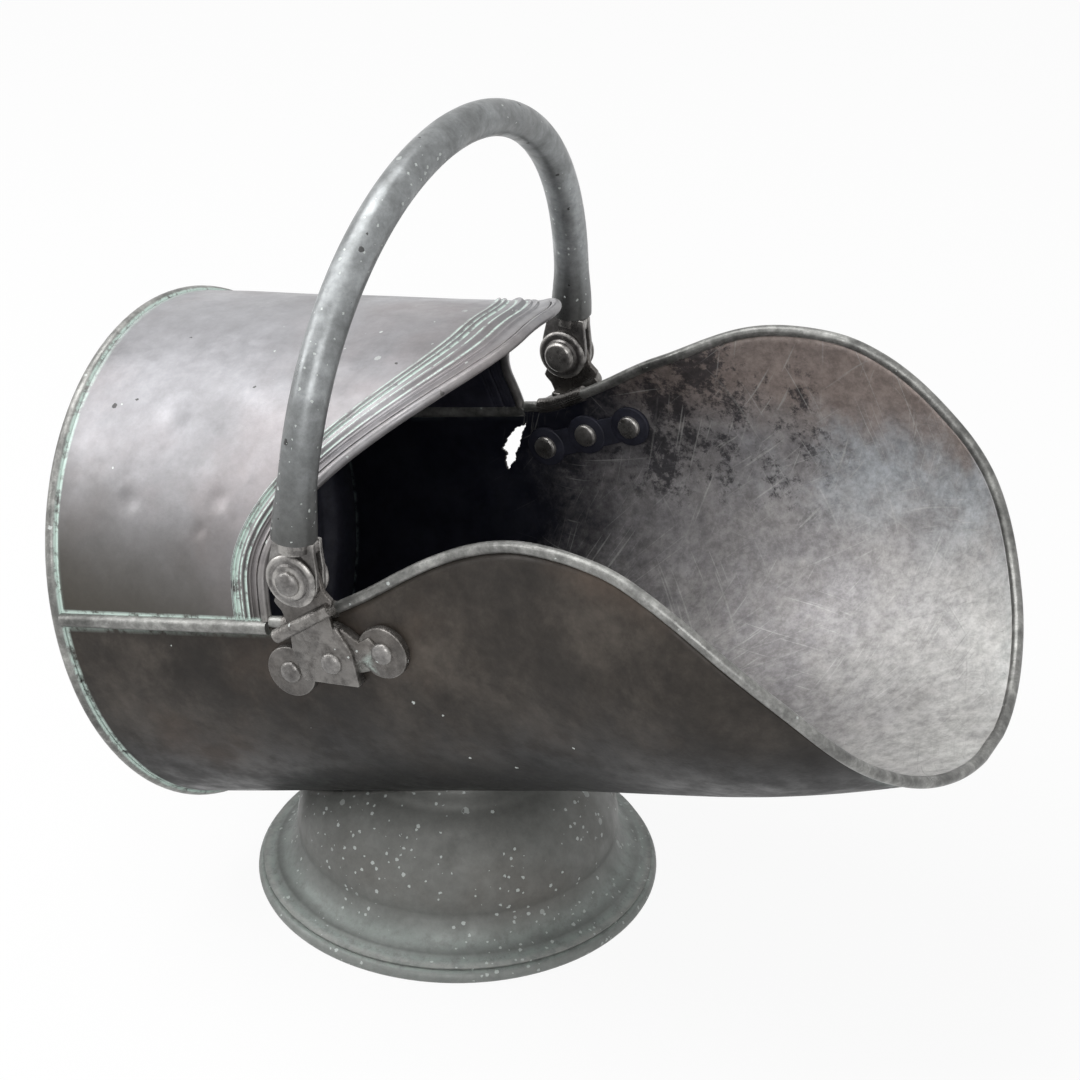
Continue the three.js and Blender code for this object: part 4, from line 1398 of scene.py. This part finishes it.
@dataclass
class Foot:
    """The spun foot with its cove, dome and neck, standing on a wired rim."""

    form: TubForm
    finishes: Finishes
    radius: float = 0.107
    wire_radius: float = 0.004
    wire_height: float = 0.0035
    crease_radius: float = 0.088
    crease_height: float = 0.027
    dome_top: Pair = (0.063, 0.078)
    neck_radius: float = 0.055
    neck_height: float = 0.085
    trim_step: float = 1e-4

    def profile(self) -> list[Vector]:
        """The foot's outer line, as pairs of radius and height, from the rim up to the neck.

        Returns:
            The points.
        """
        seat = self.wire_height + self.wire_radius + 0.0019
        crease = Vector((self.crease_radius, self.crease_height))
        dome = Vector(self.dome_top)
        foot_of_cove = Vector((self.radius - 0.0055, seat + 0.0024))
        pull = Vector((self.crease_radius + 0.005, 0.014))
        rim = [Vector((self.radius + 0.001, seat)), Vector((self.radius - 0.004, seat + 0.0008))]
        line = [*rim, foot_of_cove]
        line += bezier(foot_of_cove, foot_of_cove.lerp(pull, 0.67), crease.lerp(pull, 0.67), crease, 12)
        line += bezier(crease, crease + Vector((0.0045, 0.018)), dome + Vector((0.014, -0.010)), dome, 24)
        neck = Vector((self.neck_radius, self.neck_height + 0.006))
        pull = Vector((self.neck_radius + 0.004, self.neck_height - 0.002))
        line += bezier(dome, pull, Vector((self.neck_radius, self.neck_height)), neck, 10)
        return line + [neck + Vector((0, 0.002 * i)) for i in range(1, 16)]

    def seat(self, shell: BMesh) -> None:
        """Trims the neck to the underside of the tub.

        Args:
            shell: The foot's sheet.
        """
        gone = [face for face in shell.faces if all(self.form.holds(vert.co) for vert in face.verts)]
        bmesh.ops.delete(shell, geom=gone, context="FACES")
        for vert in shell.verts:
            steps = 0
            while self.form.holds(vert.co - Vector((0, 0, steps * self.trim_step))):
                steps += 1
            vert.co.z -= steps * self.trim_step

    def make(self) -> None:
        """Builds the shell and its wired rim."""
        middle = Vector((self.form.foot_x, 0, 0))
        up = Vector((0, 0, 1))
        shell = turned(self.profile(), middle, up, Vector((0, 1, 0)), 120)
        self.seat(shell)
        facing(shell, lambda point: point - (middle + up * 0.02))

        def corner(point: Vector) -> float:
            """Verdigris in the groove above the rim and in the cove.

            Args:
                point: A point of the frame.

            Returns:
                Its strength.
            """
            reach = math.hypot(point.x - middle.x, point.y)
            groove = 0.75 * bump_at(reach - (self.radius - 0.0046), 0.0012)
            cove = 0.22 * bump_at(reach - self.radius + 0.012, 0.006)
            return max(groove, cove)

        paint(shell, "corner", corner)
        Piece("spun_foot", Body.TUB, "foot_metal", ["foot_shell"]).make(
            shell, (self.finishes.foot,), self.form.sheet
        )
        low = math.asin(self.wire_height / self.wire_radius)
        thick = self.wire_radius
        ring = [
            Vector((self.radius + thick * math.cos(turn), self.wire_height + thick * math.sin(turn)))
            for turn in (mix(-low, HALF_TURN + low, i / 20) for i in range(21))
        ]
        wire = turned([*ring, ring[0]], middle, up, Vector((0, 1, 0)), 120)
        bmesh.ops.recalc_face_normals(wire, faces=wire.faces)
        paint(wire, "corner", lambda point: 0.35 * bump_at(point.z - 0.0072, 0.0010))
        Piece("foot_rim", Body.TUB, "foot_metal", ["foot_base_wire"]).make(wire, (self.finishes.foot,))


@dataclass
class SideMount:
    """One side's bracket, rivets, backing plate, pivot pin and rosettes."""

    form: TubForm
    finishes: Finishes
    side: Side
    pivot: tuple[float, float] = (0.160, 0.050)
    span: float = 0.144
    rivets: Sequence[tuple[float, float, float]] = (
        (0.1395, -0.0035, 0.0),
        (0.167, 0.0035, 0.003),
        (0.1955, 0.008, 0.0),
    )
    rivet_head: Pair = (0.0058, 0.003)
    rivet_shank: float = 0.0028
    lobe: float = 0.0135
    strap: float = 0.008
    plate: float = 0.004
    proud: float = 0.003
    ear: float = 0.0032
    ear_radius: float = 0.013
    ear_shoulder: float = 0.017
    ear_waist: float = 0.013
    collar: float = 0.0042
    collar_ends: Pair = (0.055, 0.15)
    collar_off: float = 0.0029
    collar_shift: float = 0.0012
    clench: Outline = (
        (0.0, 0.0028), (0.0048, 0.0025), (0.0058, 0.0021), (0.0064, 0.0013), (0.0066, 0.0), (0.0, 0.0),
    )  # fmt: skip
    inner_head: Outline = (
        (0.0, 0.0030), (0.0070, 0.0027), (0.0082, 0.0020),
        (0.0088, 0.0008), (0.0088, -0.0004), (0.0, -0.0004),
    )  # fmt: skip
    rib: Outline = ((-0.0205, -0.032), (-0.003, -0.0245), (0.015, -0.0165))
    rib_radius: float = 0.0036
    backing: Pair = (0.0034, 0.0006)
    pin_head: float = 0.0032
    rosette: float = 0.0138
    rosette_height: float = 0.004
    fork_face: float = 0.0045
    pin_radius: float = 0.004
    head_radius: float = 0.0065
    seat: float = 0.0003

    def at(self, u: float, off: float, v: float) -> Vector:
        """The frame's point at u and v, off metres from the middle plane on this side."""
        return self.form.point(u, off * self.side.value, v)

    @property
    def outward(self) -> Vector:
        """Direction away from the middle plane."""
        return Vector((0, self.side.value, 0))

    def disc(self, u: float, v: float, radius: float, low: float, high: float) -> BMesh:
        """A round plate between two distances off the middle plane.

        Args:
            u: Its middle along the tub.
            v: Its middle's height off the axis.
            radius: Its radius.
            low: Where its inner face is.
            high: Where its outer face is.

        Returns:
            The closed mesh.
        """
        turns = [FULL_TURN * i / 48 for i in range(48)]
        ring = [(u + radius * math.cos(turn), v + radius * math.sin(turn)) for turn in turns]
        return self.slab(ring, low, high)

    def slab(self, outline: Outline, low: float, high: float, bevel: float = 0.0008) -> BMesh:
        """A plate of an outline of u and v between two distances off the middle plane."""
        return outline_slab([self.at(u, low, v) for u, v in outline], self.outward * (high - low), bevel)

    def spun(
        self, u: float, v: float, off: float, profile: Outline, direction: float = 1.0, steps: int = 48
    ) -> BMesh:
        """A form turned about a line across the tub.

        Args:
            u: The line's place along the tub.
            v: The line's height off the axis.
            off: Where height 0 lies off the middle plane.
            profile: Pairs of radius and height.
            direction: 1 for heights that grow outwards and -1 for inwards.
            steps: Faces around.

        Returns:
            The closed mesh.
        """
        axis = self.outward * direction
        made = turned([Vector(pair) for pair in profile], self.at(u, off, v), axis, self.form.up, steps)
        bmesh.ops.holes_fill(made, edges=[edge for edge in made.edges if edge.is_boundary], sides=0)
        bmesh.ops.recalc_face_normals(made, faces=made.faces)
        return made

    def rod(self, u: float, v: float, off: float, radius: float, length: float) -> BMesh:
        """A plain round shank that runs outwards."""
        return self.spun(u, v, off, [(0.0, 0.0), (radius, 0.0), (radius, length), (0.0, length)])

    def dome(self, u: float, v: float, off: float, radius: float, height: float) -> BMesh:
        """A rounded head that looks outwards.

        Args:
            u: Its middle along the tub.
            v: Its middle's height off the axis.
            off: Where it sits off the middle plane.
            radius: Its radius.
            height: Its height.

        Returns:
            The closed mesh.
        """
        turns = [QUARTER_TURN * i / 8 for i in range(9)]
        curve = [(radius * math.sin(turn), height * math.cos(turn)) for turn in turns]
        return self.spun(u, v, off, [*curve, (radius * 0.98, -0.0004)], steps=32)

    def ear_outline(self) -> list[tuple[float, float]]:
        """The ear in side view: round over the pin, with shoulders above a waist at the rim.

        Returns:
            Its outline, as pairs of u and v.
        """
        u, v = self.pivot
        tip = v - self.ear_radius - 0.001
        root = v - 0.030
        arc = [
            (u + self.ear_radius * math.cos(turn), v + self.ear_radius * math.sin(turn))
            for turn in (HALF_TURN * i / 16 for i in range(17))
        ]
        left = [
            (u - self.ear_radius - 0.0005, v - 0.008), (u - self.ear_shoulder, tip + 0.001),
            (u - self.ear_shoulder + 0.001, tip - 0.001), (u - self.ear_waist - 0.001, tip - 0.004),
            (u - self.ear_waist, root + 0.008), (u - self.ear_waist, root),
        ]  # fmt: skip
        right = [(2 * u - a, b) for a, b in reversed(left)]
        return arc + left + right

    def make_bracket(self) -> None:
        """Builds the bracket: lobed strap, raised middle, ear and the collar over the rim."""
        wall = self.form.radius - 0.0005
        face = self.form.radius + self.plate
        first, (u, v, _), last = self.rivets
        lean = math.atan2(last[1] - first[1], last[0] - first[0])
        lift = (-math.sin(lean) * self.strap, math.cos(lean) * self.strap)
        strap = [
            (rivet[0] + lift[0] * sign, rivet[1] + lift[1] * sign)
            for rivet, sign in ((first, -1), (last, -1), (last, 1), (first, 1))
        ]
        block = [
            (u - 0.019, v - 0.010), (u + 0.0125, v - 0.013), (u + 0.013, v + 0.006),
            (u + 0.008, v + 0.0185), (u - 0.019, v + 0.0245), (u - 0.021, v + 0.008),
        ]  # fmt: skip
        arm = [
            (u + 0.004, v + 0.020), (u + 0.011, v + 0.016), (u + 0.017, v + 0.0105), (u + 0.0235, v + 0.0135),
            (u + 0.027, v + 0.009), (u + 0.022, v + 0.002), (u + 0.012, v - 0.002), (u + 0.004, v + 0.002),
        ]  # fmt: skip
        web = [
            (u - 0.017, v + 0.012), (u + 0.006, v + 0.010), (u + 0.006, v + 0.019), (u - 0.018, v + 0.024),
        ]  # fmt: skip
        ear_low = self.span - self.ear / 2
        ear_high = ear_low + self.ear
        sleeve = [
            self.form.in_frame(self.form.rim_wire(share, self.side.value, self.collar_off))
            + self.outward * self.collar_shift
            for share in (mix(*self.collar_ends, i * 0.1) for i in range(11))
        ]
        rib = [self.at(self.pivot[0] + across, ear_high, self.pivot[1] + high) for across, high in self.rib]
        parts = [
            self.disc(first[0], first[1], self.lobe, wall, face),
            self.disc(last[0], last[1], self.lobe, wall, face),
            self.slab(strap, wall, face - 0.0006),
            self.slab(block, wall, face + self.proud, 0.001),
            self.slab(arm, wall, face + 0.0012),
            self.slab(self.ear_outline(), ear_low, ear_high, 0.0009),
            self.slab(web, face, ear_high - 0.0004),
            tube(sleeve, self.collar, 24),
            tube(rib, self.rib_radius, 20),
        ]
        bracket = joined(parts)
        paint(bracket, "corner", self.verdigris_and_highlight)
        Piece(f"side_bracket_{self.side.word}", Body.TUB, "iron", [f"bracket_{self.side.word}"]).make(
            bracket, (self.finishes.iron,)
        )

    def verdigris_and_highlight(self, point: Vector) -> float:
        """Verdigris between the last two rivets, and pale rings round the rivet heads that are partly
        verdigris and partly a painted highlight.

        Args:
            point: A point of the frame.

        Returns:
            Its strength.
        """
        at = self.form.local(point)
        patch = 0.75 * bump_at(math.hypot(at.x - 0.185, at.z - 0.005), 0.006)
        # pale rings round the rivet heads: verdigris and painted highlight
        verdigris_and_highlight_rings = [bump_at(math.hypot(at.x - u, at.z - v) - 0.0064, 0.0010) for u, v, _ in self.rivets]
        return max(patch, 0.35 * verdigris_and_highlight_rings[0], 0.5 * verdigris_and_highlight_rings[1], 0.9 * verdigris_and_highlight_rings[2])

    def make_backing(self) -> None:
        """Builds the plate inside the tub that the rivets clench on."""
        low, high = (self.form.radius - self.form.sheet - inside for inside in self.backing)
        first, _, last = self.rivets
        strap = [
            (rivet[0], rivet[1] + self.strap * sign)
            for rivet, sign in ((first, -1), (last, -1), (last, 1), (first, 1))
        ]
        parts = [self.disc(u, v, self.lobe - 0.002, low, high) for u, v, _ in self.rivets]
        parts.append(self.slab(strap, low + 0.0005, high))
        # near-black backing: soot and painted shade
        Piece(f"inner_backing_{self.side.word}", Body.TUB, "iron", [f"backing_plate_{self.side.word}"]).make(
            joined(parts), (self.finishes.soot_and_shade,)
        )

    def make_rivets(self) -> None:
        """Builds the three rivets, domed outside and broad inside."""
        inside = self.form.radius - self.form.sheet - 0.0036
        for number, (u, v, proud) in enumerate(self.rivets, start=1):
            face = self.form.radius + self.plate + proud
            parts = [
                self.dome(u, v, face, *self.rivet_head),
                self.spun(u, v, inside, self.clench, -1.0, 32),
                self.rod(u, v, inside, self.rivet_shank, face - inside),
            ]
            name = f"rivet_{self.side.word}_{number}"
            Piece(f"{name}_round", Body.TUB, "iron", [name]).make(joined(parts), (self.finishes.rosette,))

    def make_pivot(self) -> None:
        """Builds the pin and the two rosettes that it is riveted over."""
        u, v = self.pivot
        bore, r, h = self.pin_radius + self.seat, self.rosette, self.rosette_height
        steps = [
            (bore, 0), (r - 0.0008, 0), (r, 0.0008), (r, h * 0.40), (r - 0.0008, h * 0.62),
            (r - 0.0022, h * 0.70), (r - 0.0032, h * 0.60), (r - 0.0040, h * 0.62), (r - 0.0048, h * 0.92),
            (r - 0.0058, h), (bore, h),
        ]  # fmt: skip
        for word, direction in (("outer", 1.0), ("inner", -1.0)):
            name = f"rosette_{word}_{self.side.word}"
            off = self.span + direction * (self.fork_face + self.seat)
            Piece(f"{name}_round", Body.TUB, "handle_metal", [name]).make(
                self.spun(u, v, off, [*steps, steps[0]], direction), (self.finishes.rosette,)
            )
        seat = self.fork_face + h + 2 * self.seat
        parts = [
            self.dome(u, v, self.span + seat, self.head_radius, self.pin_head),
            self.spun(u, v, self.span - seat, self.inner_head, -1.0, 40),
            self.rod(u, v, self.span - seat, self.pin_radius, 2 * seat),
        ]
        name = f"pivot_pin_{self.side.word}"
        Piece(f"{name}_round", Body.TUB, "iron", [name]).make(joined(parts), (self.finishes.rosette,))

    def make(self) -> None:
        """Builds all of this side's pieces."""
        self.make_bracket()
        self.make_backing()
        self.make_rivets()
        self.make_pivot()


@dataclass
class Handle:
    """The arched tube and its two forks, which swing on the pins."""

    form: TubForm
    finishes: Finishes
    pivot: tuple[float, float] = (0.160, 0.050)
    pin_span: float = 0.144
    span: float = 0.1475
    rise: float = 0.178
    radius: float = 0.0095
    fullness: float = 0.8
    flare: float = 0.0018
    flare_share: float = 0.05
    hip: float = 0.2
    lean: float = math.radians(1.8)
    tube_start: float = 0.023
    eye: float = 0.0136
    neck: float = 0.0112
    cheek: float = 0.0026
    gap: float = 0.0019
    bridge: float = 0.0155

    @property
    def centre(self) -> Vector:
        """The middle of the pivot line."""
        return self.form.point(self.pivot[0], 0, self.pivot[1])

    def at(self, forward: float, y: float, high: float) -> Vector:
        """The frame's point for a place on the upright handle, before its lean."""
        turn = Matrix.Rotation(self.lean, 3, "Y")
        return self.centre + turn @ Vector((forward, 0, high)) + Vector((0, y, 0))

    def middle_line(self) -> list[Vector]:
        """Points of the arch from the near foot to the far one.

        Returns:
            The points, in the frame.
        """
        first = math.asin((self.tube_start / self.rise) ** (1 / self.fullness))
        points = []
        for i in range(121):
            turn = mix(first, HALF_TURN - first, i / 120)
            high = self.rise * math.sin(turn) ** self.fullness
            points.append(self.at(0, -self.span * math.cos(turn), high))
        return points

    def make(self) -> None:
        """Builds the tube and both forks."""

        def flare(s: float) -> float:
            """What the tube's ends gain at a share of its length."""
            return self.flare * (1 - smoothstep(min(s, 1 - s), 0.0, self.flare_share))

        arch = tube(self.middle_line(), self.radius, 32, flare=flare)
        Piece("handle_tube_smooth", Body.HANDLE, "handle_metal", ["handle_tube"]).make(
            arch, (self.finishes.handle,)
        )
        for side in Side:
            self.make_fork(side)

    def make_fork(self, side: Side) -> None:
        """Builds one forked end: two cheeks round the ear and the block under the tube.

        Args:
            side: The end's side.
        """
        arc = [mix(HALF_TURN - self.hip, FULL_TURN + self.hip, i / 24) for i in range(25)]
        top = self.tube_start - 0.0005
        waist = [
            (mix(self.eye, self.neck, smoothstep(i, 0, 5)), mix(self.eye * math.sin(self.hip), top, i / 5))
            for i in range(1, 6)
        ]
        outline = [(self.eye * math.cos(turn), self.eye * math.sin(turn)) for turn in arc]
        outline += waist + [(-x, z) for x, z in reversed(waist)]
        half = self.gap + self.cheek
        parts = []
        for low in (-half, self.gap):
            y = side.value * (self.pin_span + low)
            cheek = [self.at(x, y, z) for x, z in outline]
            parts.append(outline_slab(cheek, Vector((0, side.value * self.cheek, 0)), 0.0007))
        inset = 0.0003
        wide = self.neck - inset
        block = [(-wide, self.bridge), (wide, self.bridge), (wide, top - inset), (-wide, top - inset)]
        y = side.value * (self.pin_span - half + inset)
        depth = Vector((0, side.value * 2 * (half - inset), 0))
        parts.append(outline_slab([self.at(x, y, z) for x, z in block], depth, 0.0012))
        y = side.value * mix(self.pin_span, self.span, 0.8)
        collar = [self.at(0, y, z) for z in (self.bridge + 0.001, self.tube_start + 0.004)]
        parts.append(tube(collar, self.radius - 0.0012, 24))
        Piece(f"fork_end_{side.word}", Body.HANDLE, "iron", [f"handle_fork_{side.word}"]).make(
            joined(parts), (self.finishes.rosette,)
        )


@dataclass
class Studio:
    """A pale floor, soft light and the camera at the photograph's viewpoint."""

    eye: Vector = field(default_factory=lambda: Vector((0.5668, -1.14374, 0.92848)))
    azimuth: float = math.radians(26.592)
    elevation: float = math.radians(29.008)
    roll: float = math.radians(1.001)
    lens: float = 94.445
    floor_half: float = 6.0
    floor_grey: float = 0.86
    floor_glow: float = 0.93
    shade: float = 0.30

    def camera(self) -> None:
        """Sets the camera where the photograph was taken."""
        data = bpy.data.cameras.new("camera")
        data.lens = self.lens
        data.sensor_width = 36.0
        data.clip_end = 50.0
        camera = bpy.data.objects.new("camera", data)
        aim = Matrix.Rotation(self.azimuth, 4, "Z") @ Matrix.Rotation(QUARTER_TURN - self.elevation, 4, "X")
        camera.matrix_world = Matrix.Translation(self.eye) @ aim @ Matrix.Rotation(self.roll, 4, "Z")
        bpy.context.scene.collection.objects.link(camera)
        bpy.context.scene.camera = camera

    def seen_white(self, tree: bpy.types.NodeTree) -> bpy.types.NodeSocket:
        """1 for rays from the camera, in reflections and through glass.

        Args:
            tree: The tree that reads it.

        Returns:
            The value.
        """
        book = Tree(tree)
        path = book.add("ShaderNodeLightPath")
        seen = book.math("MAXIMUM", path.outputs["Is Camera Ray"], path.outputs["Is Glossy Ray"])
        return book.math("MAXIMUM", seen, path.outputs["Is Transmission Ray"])

    def floor(self) -> None:
        """Lays the pale floor, which keeps the scuttle's shadow."""
        bm = bmesh.new()
        bmesh.ops.create_grid(bm, x_segments=1, y_segments=1, size=self.floor_half)
        mesh = bpy.data.meshes.new("floor")
        bm.to_mesh(mesh)
        bm.free()
        material = bpy.data.materials.new("pale floor")
        material.use_nodes = True
        nodes, links = material.node_tree.nodes, material.node_tree.links
        book = Tree(material.node_tree)
        shader = nodes["Principled BSDF"]
        shader.inputs["Base Color"].default_value = (*(self.floor_grey,) * 3, 1)
        shader.inputs["Roughness"].default_value = 0.95
        shader.inputs["Specular IOR Level"].default_value = 0.0
        glow = book.add("ShaderNodeEmission", {"Color": (1, 1, 1, 1), "Strength": 1.0})
        share = book.math("MULTIPLY", self.seen_white(material.node_tree), self.floor_glow)
        both = book.add("ShaderNodeMixShader", {0: share, 1: shader.outputs[0], 2: glow.outputs[0]})
        links.new(both.outputs[0], nodes["Material Output"].inputs[0])
        mesh.materials.append(material)
        floor = bpy.data.objects.new("floor", mesh)
        bpy.context.scene.collection.objects.link(floor)

    def world(self) -> None:
        """Sets the white surroundings and their softer light."""
        world = bpy.data.worlds.new("studio")
        world.use_nodes = True
        background = world.node_tree.nodes["Background"]
        background.inputs["Color"].default_value = (1, 1, 1, 1)
        seen = self.seen_white(world.node_tree)
        strength = Tree(world.node_tree).spread(seen, 0.0, 1.0, self.shade, 1.0)
        world.node_tree.links.new(strength, background.inputs["Strength"])
        bpy.context.scene.world = world

    def lamp(self, name: str, place: Triple, aim: Triple, size: float, watts: float) -> None:
        """Hangs one soft square lamp.

        Args:
            name: Its name.
            place: Where it hangs.
            aim: The point that it faces.
            size: Length of its side.
            watts: Its power.
        """
        data = bpy.data.lights.new(name, "AREA")
        data.size = size
        data.energy = watts
        lamp = bpy.data.objects.new(name, data)
        lamp.location = place
        lamp.rotation_euler = (Vector(aim) - Vector(place)).to_track_quat("-Z", "Y").to_euler()
        bpy.context.scene.collection.objects.link(lamp)

    def make(self) -> None:
        """Sets up the whole studio."""
        scene = bpy.context.scene
        scene.view_settings.view_transform = "Standard"
        self.camera()
        self.floor()
        self.world()
        self.lamp("overhead", (-0.7, -0.2, 1.9), (0, 0, 0.2), 1.5, 30)
        self.lamp("front", (0.9, -2.1, 1.5), (0.05, 0, 0.2), 1.2, 17)
        self.lamp("left", (-1.9, -0.7, 1.1), (0, 0, 0.2), 1.0, 11)


def main() -> None:
    """Builds the scuttle, its finishes and the studio."""
    logging.basicConfig(level=logging.INFO, format="%(name)s: %(message)s")
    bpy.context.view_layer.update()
    low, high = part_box("foot_base_wire")
    form = TubForm(foot_x=(low[0] + high[0]) / 2)
    finishes = make_finishes(form)
    Pan(form, finishes).make()
    Hood(form, finishes).make()
    BackEnd(form, finishes).make()
    Foot(form, finishes).make()
    for side in Side:
        SideMount(form, finishes, side).make()
    Handle(form, finishes).make()
    Studio().make()


if __name__ == "__main__":
    main()
